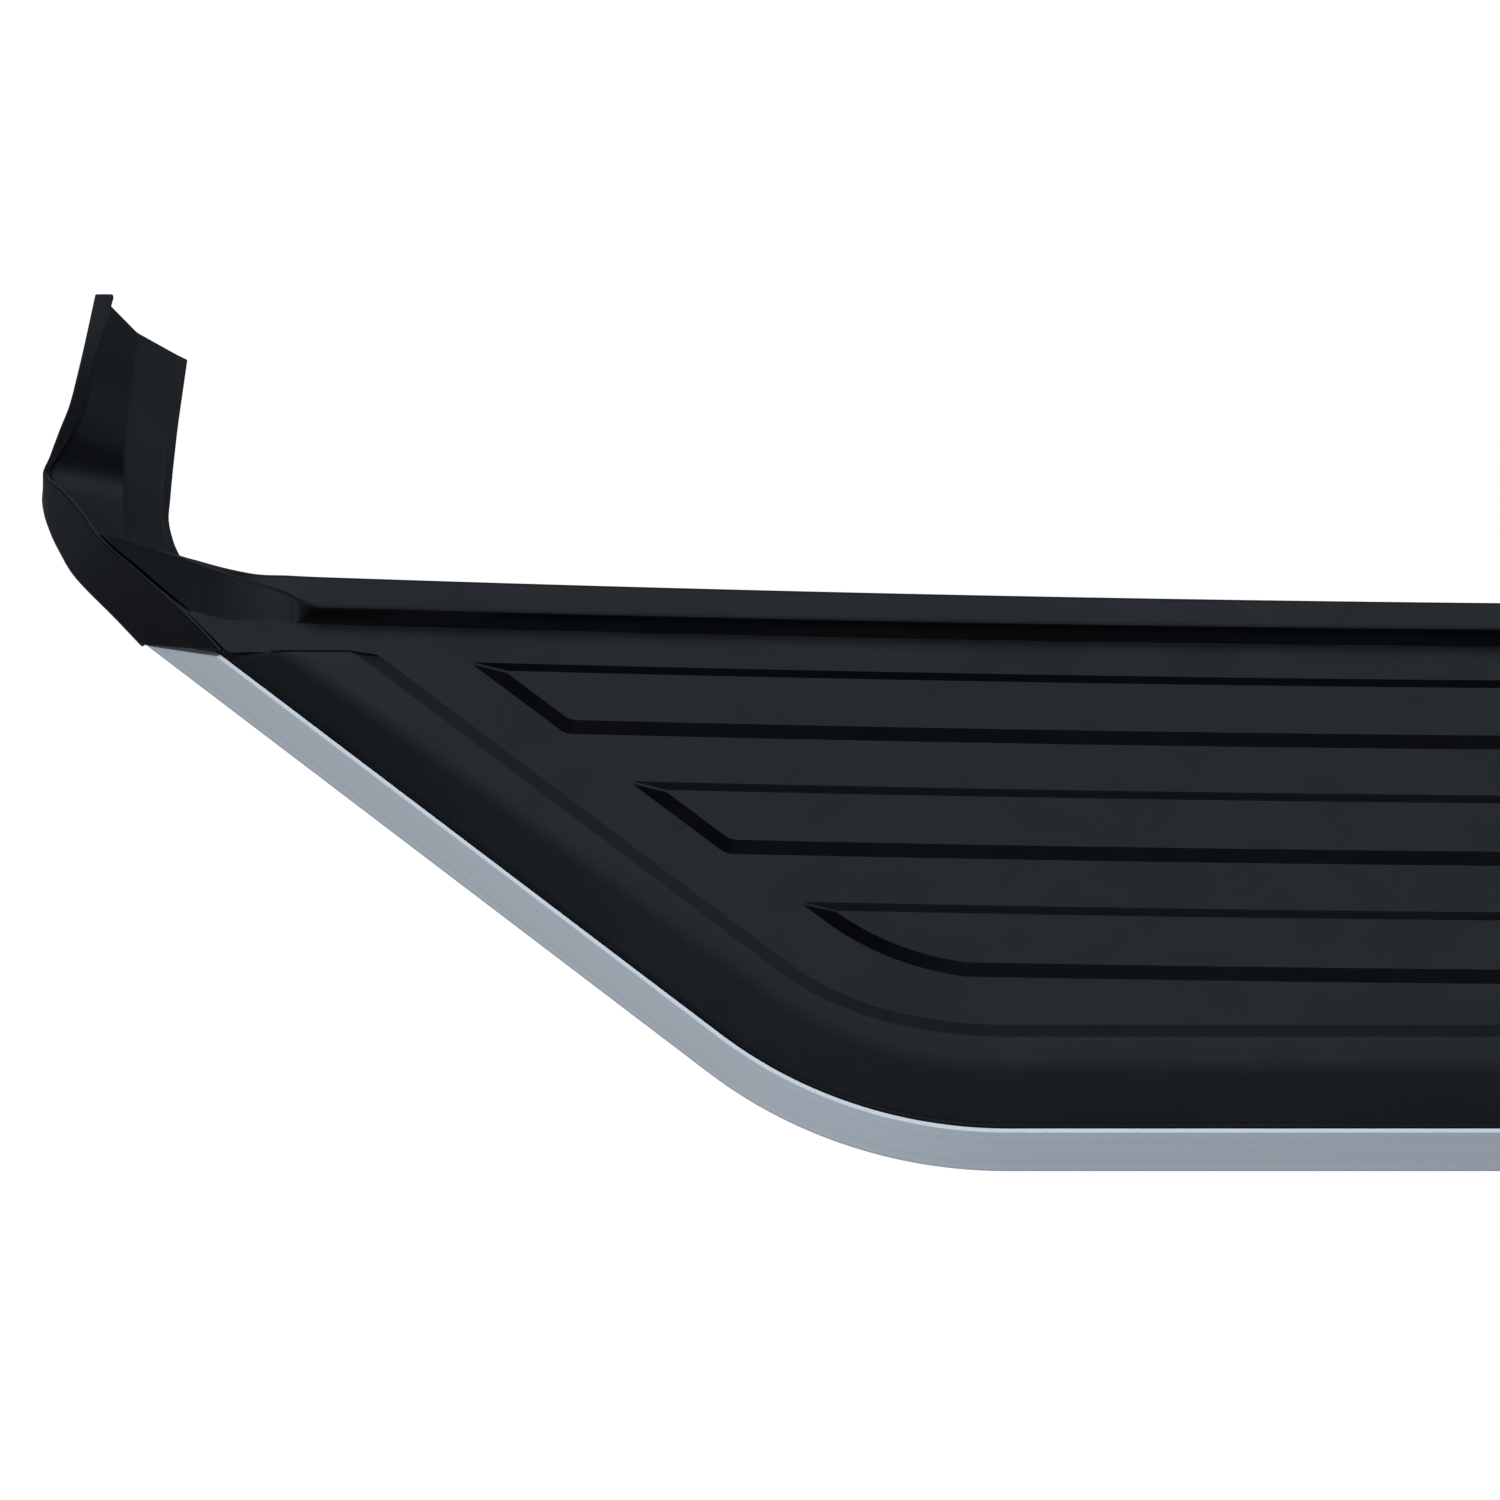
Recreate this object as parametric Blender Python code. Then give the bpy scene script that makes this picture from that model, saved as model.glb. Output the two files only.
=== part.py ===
"""Running board for a car's sill: a moulded tread cover on an aluminium core, with a silver trim strip,
a winged end cap at each end, and three slide brackets that carry it.

Board coordinates are millimetres: x along the board, y inboard from the seam between cover and trim,
z up from the flat field of the tread. at() turns them into the scene's metres, with the origin on the
ground plane under the middle of the whole board.
"""
import math

import bmesh
import bpy
from mathutils import Vector

# Plan of the board
CORNER_X = 610.5            # where the outer edge leaves its straight run
CORNER_RADIUS = 149.0       # of the seam round the corner
SWEEP_BACK = math.radians(40)   # angle of the swept end
BOW = 3.0e-5                # inboard bow of ribs and rail, mm per mm squared
BOW_START = 280.0           # half length of the stretch that is straight
RAIL_BACK_BOW = 3.5e-5      # the rail widens a little towards its ends
CENTRE_Y = 149.45           # middle of the whole board, from outer trim to ear
STAND = 55.0                # from the brackets' feet up to the tread's field

# Tread cover
SKIN = 3.0
ROOT = 0.8                  # how far a raised shape's walls run on down into the skin
RIB_LOW_EDGES = (49.4, 94.5, 139.7)
RIB_WIDTH = 28.5
RIB_RUN = 4.7               # plan width of a rib's sloped wall
RIB_HEIGHT = 2.3
RIB_END = 50.0              # from the seam to a rib's end
BORDER_HEIGHT = 2.1
BORDER_WALL = 32.3          # foot of the border's inner wall, from the seam
BORDER_CREASE = 18.9
BORDER_CREASE_AT_TIP = 12.0
BORDER_END_Y = 178.0
SEAM_Z = -3.4
SEAM_OVERHANG = 1.2         # how far the cover's outer edge stands outboard of the seam's path
SKIRT_WALL = 2.5
RAIL_FOOT = 180.9
RAIL_CREST = 183.8
RAIL_BACK = 194.6
RAIL_HEIGHT = 8.0
RAIL_END = 848.0            # where the rail starts to turn into the wedge
SKIRT_Z = -14.0

# Core, trim and what holds them
CORE_FRONT = 13.5
CORE_BACK = 190.5
CORE_TOP = -3.3
CORE_BOTTOM = -26.0
CORE_WALL = 2.4
SLOT_Y = (55.0, 150.0)
SLOT_MOUTH = 9.0
SLOT_WIDTH = 18.0
SLOT_LIP = 2.5
SLOT_DEPTH = 10.5
TRIM_BOTTOM = -24.0
TRIM_END_TOP, TRIM_END_LOW = 228.6, 260.6   # along the swept edge from the corner's end
CLIP_PLACES = (-500.0, -180.0, 180.0, 500.0)
CLIP_ON_SWEEP = 120.0
GAP = 0.3
ROUND_BELOW = math.radians(30)      # edges that bend less than this are shaded round

# Brackets
BRACKET_X = {"left": -400.0, "middle": 0.0, "right": 400.0}
BRACKET_WIDTH = 50.0
BRACKET_SHEET = 4.0
BRACKET_FRONT = 35.0
TAB_BACK = 300.0
TAB_TOP = 35.0
PAD = 2.0
BOLT_RADIUS = 4.0
NUT_ACROSS = 13.0
CAP_SCREWS = ((-722.0, 84.0), (-771.0, 126.0), (-822.0, 169.0))


def at(x, y, z):
    return Vector((x, y - CENTRE_Y, z + STAND)) * 0.001


def bow(x, amount=BOW):
    return amount * max(0.0, abs(x) - BOW_START) ** 2


def seam_point(offset, turn, along=0.0):
    """Left half of the seam's path moved inboard by offset: turn round the corner, then along the sweep."""
    radius = CORNER_RADIUS - offset
    x = -CORNER_X - radius * math.sin(turn) - along * math.cos(SWEEP_BACK)
    y = CORNER_RADIUS - radius * math.cos(turn) + along * math.sin(SWEEP_BACK)
    return x, y


def along_to(offset, y):
    """How far along the sweep a path at this offset reaches y."""
    return (y - seam_point(offset, SWEEP_BACK)[1]) / math.sin(SWEEP_BACK)


def steps(first, last, count):
    return [first + (last - first) * i / count for i in range(count + 1)]


for old in list(bpy.data.objects):
    bpy.data.objects.remove(old, do_unlink=True)
board = bpy.data.collections.new("running_board")
cutters = bpy.data.collections.new("cutters")
bpy.context.scene.collection.children.link(board)
bpy.context.scene.collection.children.link(cutters)


def material(name, colour, roughness, metallic=0.0):
    made = bpy.data.materials.new(name)
    made.use_nodes = True
    shader = made.node_tree.nodes["Principled BSDF"]
    shader.inputs["Base Color"].default_value = (*colour, 1.0)
    shader.inputs["Roughness"].default_value = roughness
    shader.inputs["Metallic"].default_value = metallic
    return made


COVER = material("tread_plastic", (0.013, 0.017, 0.021), 0.45)
CAP = material("cap_plastic", (0.012, 0.015, 0.019), 0.4)
SILVER = material("silver_trim", (0.36, 0.38, 0.40), 0.35, 0.6)
CORE = material("core_aluminium", (0.62, 0.63, 0.64), 0.4, 1.0)
RUBBER = material("rubber", (0.012, 0.012, 0.012), 0.75)
COATED = material("coated_steel", (0.02, 0.02, 0.021), 0.5)
CLIP = material("clip_nylon", (0.65, 0.65, 0.6), 0.5)
ZINC = material("zinc_steel", (0.6, 0.6, 0.58), 0.35, 1.0)


def add_object(name, mesh, finish, helper=False):
    """Puts a mesh in the scene, as a part or as a helper that only cuts or joins."""
    mesh.shade_smooth()
    mesh.set_sharp_from_angle(angle=ROUND_BELOW)
    made = bpy.data.objects.new(name, mesh)
    (cutters if helper else board).objects.link(made)
    made.hide_render = helper
    if helper:
        made.display_type = "WIRE"
    else:
        mesh.materials.clear()
        mesh.materials.append(finish)
    return made


def loft(name, rings, finish=None, helper=False):
    """A closed body through rings of board points, each ring with as many points as the next."""
    mesh = bpy.data.meshes.new(name)
    bm = bmesh.new()
    rows = [[bm.verts.new(at(*point)) for point in ring] for ring in rings]
    for low, high in zip(rows, rows[1:]):
        for i in range(len(low)):
            j = (i + 1) % len(low)
            bm.faces.new((low[i], low[j], high[j], high[i]))
    bm.faces.new(reversed(rows[0]))
    bm.faces.new(rows[-1])
    bmesh.ops.recalc_face_normals(bm, faces=bm.faces)
    bm.to_mesh(mesh)
    bm.free()
    return add_object(name, mesh, finish, helper)


def outline_solid(name, outlines, thickness, place, finish=None, helper=False):
    """A flat outline, with any holes after it, filled and extruded both ways, then turned by place."""
    curve = bpy.data.curves.new(name, "CURVE")
    curve.dimensions = "2D"
    curve.fill_mode = "BOTH"
    curve.extrude = thickness * 0.0005
    for outline in outlines:
        spline = curve.splines.new("POLY")
        spline.points.add(len(outline) - 1)
        for point, (u, v) in zip(spline.points, outline):
            point.co = (u * 0.001, v * 0.001, 0.0, 1.0)
        spline.use_cyclic_u = True
    drawn = bpy.data.objects.new(name + "_outline", curve)
    bpy.context.scene.collection.objects.link(drawn)
    evaluated = drawn.evaluated_get(bpy.context.evaluated_depsgraph_get())
    mesh = bpy.data.meshes.new_from_object(evaluated)
    bpy.data.objects.remove(drawn)
    bm = bmesh.new()
    bm.from_mesh(mesh)
    bmesh.ops.remove_doubles(bm, verts=bm.verts, dist=1e-6)
    for vertex in bm.verts:
        u, v, w = vertex.co * 1000
        vertex.co = at(*place(u, v, w))
    bmesh.ops.recalc_face_normals(bm, faces=bm.faces)
    bm.to_mesh(mesh)
    bm.free()
    return add_object(name, mesh, finish, helper)


def cylinder(name, centre, radius, depth, axis="Z", sides=16, finish=None, helper=False):
    """A primitive cylinder or, with six sides, a hexagon prism."""
    mesh = bpy.data.meshes.new(name)
    bm = bmesh.new()
    bmesh.ops.create_cone(bm, cap_ends=True, segments=sides, radius1=radius * 0.001,
                          radius2=radius * 0.001, depth=depth * 0.001)
    for vertex in bm.verts:
        x, y, z = vertex.co
        vertex.co = Vector({"Z": (x, y, z), "Y": (x, z, -y), "X": (z, y, -x)}[axis])
    bm.to_mesh(mesh)
    bm.free()
    made = add_object(name, mesh, finish, helper)
    made.location = at(*centre)
    return made


def box(name, low, high, finish=None, helper=False):
    mesh = bpy.data.meshes.new(name)
    bm = bmesh.new()
    bmesh.ops.create_cube(bm, size=1.0)
    centre = (at(*low) + at(*high)) / 2
    size = at(*high) - at(*low)
    for vertex in bm.verts:
        vertex.co = Vector(c * s for c, s in zip(vertex.co, size)) + centre
    bm.to_mesh(mesh)
    bm.free()
    return add_object(name, mesh, finish, helper)


def combine(target, operation, helpers, solver="EXACT"):
    for helper in helpers:
        modifier = target.modifiers.new(helper.name, "BOOLEAN")
        modifier.operation = operation
        modifier.object = helper
        modifier.solver = solver


def mirrored(points):
    """Left-half points followed by their mirror images, so that the outline runs on round."""
    return list(points) + [(-x, *rest) for x, *rest in reversed(points)]


# Tread cover: the plate, the border band round its outer edge, three ribs, and the inboard rail.
LONG_STATIONS = (-848.0, -790.0, -730.0, -660.0, -590.0, -510.0, -410.0, BOW_START * -1)
plate_left = [(x, RAIL_BACK - 1.5 + bow(x)) for x in reversed(LONG_STATIONS)]
plate_left += [(-868.0, 197.0), (-893.6, 196.2), (-880.8, 182.2)]
plate_left += [seam_point(0.9, SWEEP_BACK, along_to(0.9, BORDER_END_Y - 3))]
plate_left += [seam_point(13.0, SWEEP_BACK, along_to(13.0, BORDER_END_Y - 6))]
plate_left += [seam_point(13.0, turn) for turn in steps(SWEEP_BACK, 0.0, 8)]
cover = outline_solid("tread_cover", [mirrored(plate_left)], SKIN,
                      lambda u, v, w: (u, v, w - SKIN / 2), COVER)


def border_ring(turn, along=0.0, end=False):
    """One section of the border band: sloped outer face, flat crest, inner wall and outer skirt."""
    reach = along / along_to(0.0, BORDER_END_Y)
    crease = BORDER_CREASE + (BORDER_CREASE_AT_TIP - BORDER_CREASE) * min(1.0, reach)
    skirt = SKIRT_WALL - SEAM_OVERHANG
    section = ((-SEAM_OVERHANG, SEAM_Z), (crease, BORDER_HEIGHT), (BORDER_WALL - 5.0, BORDER_HEIGHT),
               (BORDER_WALL + 1.9, -ROOT), (BORDER_WALL + 1.9, -1.5), (15.0, -1.5), (11.6, -3.2),
               (skirt, -6.4), (skirt, SKIRT_Z), (-SEAM_OVERHANG, SKIRT_Z))
    ring = []
    for offset, z in section:
        if end:
            along = along_to(offset, BORDER_END_Y)
        x, y = seam_point(offset, turn, along)
        ring.append((x, y, z))
    return ring


border_left = [border_ring(SWEEP_BACK, end=True)]
border_left += [border_ring(SWEEP_BACK, along) for along in (160.0, 80.0)]
border_left += [border_ring(turn) for turn in steps(SWEEP_BACK, 0.0, 8)]
border_right = [[(-x, y, z) for x, y, z in ring] for ring in reversed(border_left)]
band = loft("border_band", border_left + border_right, helper=True)


def rib_end_point(edge, offset):
    """Where a rib's long edge meets its end line, and how far round the corner that is."""
    y = edge
    for _ in range(4):
        turn = min(SWEEP_BACK, math.acos(min(1.0, (CORNER_RADIUS - y) / (CORNER_RADIUS - offset))))
        along = max(0.0, along_to(offset, y)) if turn == SWEEP_BACK else 0.0
        x = seam_point(offset, turn, along)[0]
        y = edge + bow(x)
    return (x, y), turn


def rib_outline(low_edge, inset):
    """Left half of a rib seen from above, from the middle of its upper edge round its end."""
    low, high = low_edge + inset, low_edge + RIB_WIDTH - inset
    offset = RIB_END + inset
    tip, _ = rib_end_point(high, offset)
    corner, turn = rib_end_point(low, offset)
    points = [(0.0, high)] + [(x, high + bow(x)) for x in steps(-BOW_START, tip[0], 6)]
    if low_edge == RIB_LOW_EDGES[0]:
        points += [seam_point(offset, part) for part in steps(SWEEP_BACK, turn, 6)][:-1]
    points += [(x, low + bow(x)) for x in steps(corner[0], -BOW_START, 6)]
    return points + [(0.0, low)]


def rib_ring(low_edge, inset, z):
    half = rib_outline(low_edge, inset)
    return [(x, y, z) for x, y in half + [(-x, y) for x, y in reversed(half[1:-1])]]


ribs = []
for number, low_edge in enumerate(RIB_LOW_EDGES, 1):
    rings = [rib_ring(low_edge, inset, z) for inset, z in
             ((-RIB_RUN * ROOT / RIB_HEIGHT, -ROOT), (RIB_RUN, RIB_HEIGHT))]
    ribs.append(loft(f"rib_{number}", rings, helper=True))

# Sections of the rail: x, foot, crest and back as (y, z), and the lowest z of the back skirt.
rail_stations = [(x, (RAIL_FOOT + bow(x), 0.0), (RAIL_CREST + bow(x), RAIL_HEIGHT),
                  (RAIL_BACK + bow(x, RAIL_BACK_BOW), RAIL_HEIGHT - 0.6), SKIRT_Z)
                 for x in LONG_STATIONS]
wedge_stations = [
    (-924.6, (220.9, 9.7), (221.9, 10.3), (223.6, 6.0), 3.0),
    (-919.0, (216.3, 7.8), (220.0, 10.1), (222.6, 5.0), 0.5),
    (-911.0, (210.2, 5.0), (217.2, 9.8), (220.4, 4.5), -2.0),
    (-903.0, (203.8, 2.2), (214.6, 9.6), (218.3, 4.5), -3.0),
    (-896.5, (198.8, 0.2), (212.3, 9.4), (215.6, 5.0), -6.0),
    (-890.0, (192.6, 0.0), (209.8, 9.2), (213.0, 6.0), SKIRT_Z),
    (-881.0, (191.6, 0.0), (206.5, 9.0), (209.7, 7.0), SKIRT_Z),
    (-870.0, (191.2, 0.0), (202.4, 8.7), (206.9, 7.6), SKIRT_Z),
    (-860.0, (191.0, 0.0), (198.7, 8.3), (206.5, 7.5), SKIRT_Z),
    (-854.0, (190.8, 0.0), (195.6, 8.1), (206.2, 7.4), SKIRT_Z),
]


def rail_ring(station):
    x, foot, crest, back, low = station
    under = -1.6 if low == SKIRT_Z else foot[1] - SKIN
    low = min(low, under - 0.5)
    root = ROOT if low == SKIRT_Z else 0.0
    return [(x, foot[0], under), (x, foot[0] - root * 0.35, foot[1] - root), (x, *crest),
            (x, back[0] - 1.2, back[1] + 0.5),
            (x, back[0], back[1] - 0.6), (x, back[0], low), (x, back[0] - 2.4, low),
            (x, back[0] - 2.6, under - 0.2)]


rail_left = [rail_ring(station) for station in wedge_stations + rail_stations]
rail_right = [[(-x, y, z) for x, y, z in ring] for ring in reversed(rail_left)]
rail = loft("rail", rail_left + rail_right, helper=True)
combine(cover, "UNION", [rail, band, *ribs])

# Core: an extrusion with chambers and two T-slots underneath, sawn to the plan of the board.
SAW_ALLOWANCE = 6.0
core_outline = [(CORE_FRONT - SAW_ALLOWANCE, CORE_TOP), (CORE_FRONT - SAW_ALLOWANCE, CORE_BOTTOM)]
for slot_y in SLOT_Y:
    for side, sign in (("enter", -1), ("leave", 1)):
        mouth, wall = slot_y + sign * SLOT_MOUTH / 2, slot_y + sign * SLOT_WIDTH / 2
        stairs = [(mouth, CORE_BOTTOM), (mouth, CORE_BOTTOM + SLOT_LIP),
                  (wall, CORE_BOTTOM + SLOT_LIP), (wall, CORE_BOTTOM + SLOT_DEPTH)]
        core_outline += stairs if side == "enter" else reversed(stairs)
core_outline += [(CORE_BACK, CORE_BOTTOM), (CORE_BACK, CORE_TOP)]
slot_half = SLOT_WIDTH / 2 + CORE_WALL
BETWEEN_SLOTS = sum(SLOT_Y) / 2
chamber_sides = ((CORE_FRONT + CORE_WALL, SLOT_Y[0] - slot_half),
                 (SLOT_Y[0] + slot_half, BETWEEN_SLOTS - CORE_WALL / 2),
                 (BETWEEN_SLOTS + CORE_WALL / 2, SLOT_Y[1] - slot_half),
                 (SLOT_Y[1] + slot_half, CORE_BACK - CORE_WALL))
chambers = [[(a, CORE_TOP - CORE_WALL), (b, CORE_TOP - CORE_WALL), (b, CORE_BOTTOM + CORE_WALL),
             (a, CORE_BOTTOM + CORE_WALL)] for a, b in chamber_sides]
core = outline_solid("core_extrusion", [core_outline, *chambers], 1900.0,
                     lambda u, v, w: (w, u, v), CORE)
saw_left = [(0.0, 260.0), seam_point(16.0, SWEEP_BACK, along_to(16.0, 260.0))]
saw_left += [seam_point(CORE_FRONT, turn) for turn in steps(SWEEP_BACK, 0.0, 2)]
saw = outline_solid("saw_line", [mirrored(saw_left)[:-1]], 60.0, lambda u, v, w: (u, v, w - 15.0),
                    helper=True)
combine(core, "INTERSECT", [saw])

# Trim strip: a C-section that hooks under the cover's seam, its ends cut on the slant for the caps.
TRIM_SECTION = ((1.7, -3.5), (3.1, -3.5), (8.5, -22.6), (8.2, TRIM_BOTTOM), (6.6, -24.8), (-9.0, -24.8),
                (-9.0, -23.2), (5.6, -23.2), (6.4, -22.0), (1.7, -5.4))


def trim_ring(turn, along=0.0, end=False):
    ring = []
    for outboard, z in TRIM_SECTION:
        if end:
            drop = min(1.0, (SEAM_Z - z) / (SEAM_Z - TRIM_BOTTOM))
            along = TRIM_END_TOP + (TRIM_END_LOW - TRIM_END_TOP) * drop
        x, y = seam_point(-outboard, turn, along)
        ring.append((x, y, z))
    return ring


trim_left = [trim_ring(SWEEP_BACK, end=True)] + [trim_ring(turn) for turn in steps(SWEEP_BACK, 0.0, 12)]
trim_right = [[(-x, y, z) for x, y, z in ring] for ring in reversed(trim_left)]
loft("trim_strip", trim_left + trim_right, SILVER)

# Trim clips: nylon blocks between the core's front and the inside of the trim.
CLIP_OUTLINE = ((-CORE_FRONT + GAP, -14.6), (3.4, -14.6), (5.2, -22.8), (-CORE_FRONT + GAP, -22.8))
CLIP_LENGTH = 26.0


def clip(name, across):
    """across(outboard, along) gives the plan point of a clip's corner."""
    rings = [[(*across(outboard, half), z) for outboard, z in CLIP_OUTLINE]
             for half in (-CLIP_LENGTH / 2, CLIP_LENGTH / 2)]
    loft(name, rings, CLIP)


for number, x in enumerate(CLIP_PLACES, 1):
    clip(f"trim_clip_{number}", lambda outboard, half, x=x: (x + half, -outboard))
for name, sign in (("trim_clip_left_end", 1), ("trim_clip_right_end", -1)):
    clip(name, lambda outboard, half, sign=sign: (
        sign * seam_point(-outboard, SWEEP_BACK, CLIP_ON_SWEEP + half)[0],
        seam_point(-outboard, SWEEP_BACK, CLIP_ON_SWEEP + half)[1]))

# Rocker seal: a rubber strip on the back of the rail that closes the gap to the sill.
# Its section is drawn as inboard distances from the rail's back, with heights.
SEAL_SECTION = ((0.0, -11.0), (2.2, -11.0), (3.6, -8.0), (3.4, -2.0), (1.8, 0.4), (0.0, 0.4))
seal_left = [[(x, RAIL_BACK + bow(x, RAIL_BACK_BOW) + GAP + inboard, z) for inboard, z in SEAL_SECTION]
             for x in LONG_STATIONS]
seal_right = [[(-x, y, z) for x, y, z in ring] for ring in reversed(seal_left)]
loft("rocker_seal", seal_left + seal_right, RUBBER)

# End caps. Stations round the corner: outer foot, outer top edge, inner top edge of the lip.
CAP_STATIONS = (
    ((-913.4, 196.3, -24.0), (-882.8, 180.2, 0.2), (-881.9, 181.0, 0.2)),
    ((-923.0, 207.3, -24.0), (-895.4, 194.2, 1.2), (-894.5, 195.0, 1.2)),
    ((-933.4, 218.6, -24.0), (-912.0, 208.4, 5.0), (-911.1, 209.3, 5.0)),
    ((-938.6, 225.1, -24.0), (-925.4, 218.6, 9.5), (-924.5, 219.4, 9.5)),
    ((-942.5, 232.1, -24.0), (-933.0, 227.6, 10.5), (-931.9, 228.2, 10.5)),
    ((-946.4, 240.3, -24.0), (-939.6, 236.0, 10.6), (-938.3, 236.6, 10.6)),
    ((-949.3, 249.3, -24.0), (-946.0, 244.2, 11.5), (-943.9, 245.2, 11.2)),
    ((-950.0, 257.5, -24.0), (-943.6, 251.0, 14.0), (-940.2, 251.8, 13.8)),
    ((-946.6, 266.0, -23.0), (-940.2, 259.9, 17.5), (-934.9, 261.1, 17.5)),
    ((-941.4, 275.0, -21.0), (-937.1, 267.6, 20.5), (-931.3, 268.9, 20.5)),
    ((-936.4, 285.0, -19.0), (-934.6, 277.5, 24.0), (-929.4, 278.6, 24.0)),
    ((-933.0, 296.0, -17.0), (-932.2, 289.0, 27.0), (-926.8, 289.8, 27.0)),
    ((-930.6, 307.4, -15.0), (-929.0, 307.4, 30.0), (-922.6, 307.4, 30.0)),
)
CAP_WALL = 2.8
FLOORED_STATIONS = 7        # from the trim on, those whose foot stands on the cap's floor


def cap_ring(foot, top, lip, inward, floored):
    """Section of the cap's outer wall, with a lip on top and, over the floor, a turned-in foot."""
    u, v = inward
    down = -28.6 if floored else foot[2] - 1.6

    def moved(point, distance, z):
        return point[0] + u * distance, point[1] + v * distance, z

    under = max(1.2, min(3.0, math.dist(top, lip) * 0.7))
    return [foot, top, lip, (lip[0], lip[1], lip[2] - under),
            moved(top, CAP_WALL * 0.6, top[2] - under - 1.4), moved(foot, CAP_WALL, foot[2] + 2.0),
            moved(foot, CAP_WALL + 1.6, down), moved(foot, 1.6, down)]


def cap_rings():
    rings = []
    count = len(CAP_STATIONS)
    for i, (foot, top, lip) in enumerate(CAP_STATIONS):
        before, after = CAP_STATIONS[max(0, i - 1)][0], CAP_STATIONS[min(count - 1, i + 1)][0]
        run = Vector((after[0] - before[0], after[1] - before[1])).normalized()
        rings.append(cap_ring(foot, top, lip, (run.y, -run.x), i < FLOORED_STATIONS))
    return rings


# The ear's inner wall: y, top left, upper crease, lower crease and free edge as (x, z).
EAR_STATIONS = (
    (225.2, (-931.6, 4.5), (-916.6, 1.5), (-903.1, -11.0), (-898.2, -15.0)),
    (232.0, (-937.0, 5.0), (-917.5, 3.0), (-904.3, -11.0), (-901.2, -15.0)),
    (241.0, (-943.2, 6.0), (-918.0, 4.0), (-905.3, -11.0), (-903.4, -15.0)),
    (250.0, (-944.4, 10.5), (-918.3, 4.0), (-905.7, -11.0), (-903.2, -15.0)),
    (260.0, (-938.2, 16.0), (-918.4, 4.0), (-905.8, -11.0), (-902.8, -15.0)),
    (269.0, (-934.4, 19.0), (-918.0, 4.0), (-905.7, -11.0), (-902.3, -15.0)),
    (279.0, (-931.6, 22.5), (-917.4, 4.0), (-905.2, -11.0), (-901.7, -15.0)),
    (290.0, (-929.0, 25.5), (-916.8, 4.0), (-904.4, -11.0), (-900.8, -15.0)),
    (307.4, (-925.2, 28.0), (-916.1, 4.0), (-903.2, -11.0), (-899.3, -15.0)),
)


EAR_SHEET = 2.5


def ear_ring(y, top, upper, lower, edge):
    return [(top[0], y, top[1]), (top[0] + 0.4, y, top[1] - 4.0 if top[1] > 9.0 else top[1] - 0.8),
            (upper[0], y, upper[1]), (lower[0], y, lower[1]), (edge[0], y, edge[1]),
            (edge[0] - 1.2, y, edge[1] - EAR_SHEET), (lower[0] - 1.6, y, lower[1] - EAR_SHEET - 0.4),
            (upper[0] - 2.0, y, upper[1] - EAR_SHEET), (top[0] - 1.6, y, top[1] - EAR_SHEET - 2.6)]


FLOOR_OUTLINE = [(-695.0, 62.0), (-742.0, 82.0), (-893.0, 205.0), (-896.0, 226.0), (-915.0, 236.0),
                 (-920.0, 250.0), (-947.0, 250.0), (-943.6, 240.5), (-940.0, 232.8), (-936.2, 226.4),
                 (-931.0, 219.8), (-921.0, 208.8), (-911.8, 198.6), (-904.0, 198.0), (-858.0, 166.0),
                 (-722.0, 62.0)]
FLOOR_TOP, FLOOR_BOTTOM = -26.3, -29.3
SCREW_RADIUS, SCREW_LENGTH, SCREW_HEAD, SCREW_TIP = 2.4, 9.4, 3.2, -20.5


def end_cap(name, sign):
    def side(ring):
        return [(sign * x, y, z) for x, y, z in ring]

    cap = loft(name, [side(ring) for ring in cap_rings()], CAP)
    ear = loft(name + "_ear", [side(ear_ring(*station)) for station in EAR_STATIONS], helper=True)
    floor = outline_solid(name + "_floor", [FLOOR_OUTLINE], FLOOR_TOP - FLOOR_BOTTOM,
                          lambda u, v, w: (sign * u, v, w + (FLOOR_TOP + FLOOR_BOTTOM) / 2), helper=True)
    # The thin curved walls of cap and ear meet at slight angles, which only this solver joins cleanly.
    combine(cap, "UNION", [ear, floor], "MANIFOLD")
    holes = [cylinder(f"{name}_hole_{i}", (sign * x, y, -28.0), SCREW_RADIUS + 0.5, 10.0, helper=True)
             for i, (x, y) in enumerate(CAP_SCREWS, 1)]
    combine(cap, "DIFFERENCE", holes, "MANIFOLD")
    combine(core, "DIFFERENCE", holes)
    for i, (x, y) in enumerate(CAP_SCREWS, 1):
        screw = cylinder(f"{name}_screw_{i}", (sign * x, y, SCREW_TIP - SCREW_LENGTH / 2), SCREW_RADIUS,
                         SCREW_LENGTH, finish=ZINC)
        head = cylinder(f"{name}_screw_head_{i}", (sign * x, y, FLOOR_BOTTOM - GAP - SCREW_HEAD / 2), 5.0,
                        SCREW_HEAD, sides=12, helper=True)
        combine(screw, "UNION", [head])


end_cap("end_cap_left", 1)
end_cap("end_cap_right", -1)


# Brackets: pressed-steel channels that slide along the core's T-slots until their nuts are tightened.
ARM_TOP = CORE_BOTTOM - GAP - PAD - GAP
FLANGE_OUTLINE = [(BRACKET_FRONT, ARM_TOP - 1.0), (BRACKET_FRONT, -44.0), (60.0, -STAND), (250.0, -STAND),
                  (TAB_BACK - 0.8, -40.0), (TAB_BACK - 0.8, 12.0), (TAB_BACK - 5.2, 12.0),
                  (278.0, ARM_TOP - 1.0)]
ARM_OUTLINE = [(BRACKET_FRONT, ARM_TOP), (BRACKET_FRONT, ARM_TOP - BRACKET_SHEET),
               (TAB_BACK, ARM_TOP - BRACKET_SHEET), (TAB_BACK, TAB_TOP), (TAB_BACK - 6.0, TAB_TOP),
               (TAB_BACK - 6.0, ARM_TOP)]
TAB_HOLE_Z = (-8.0, 20.0)
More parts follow.
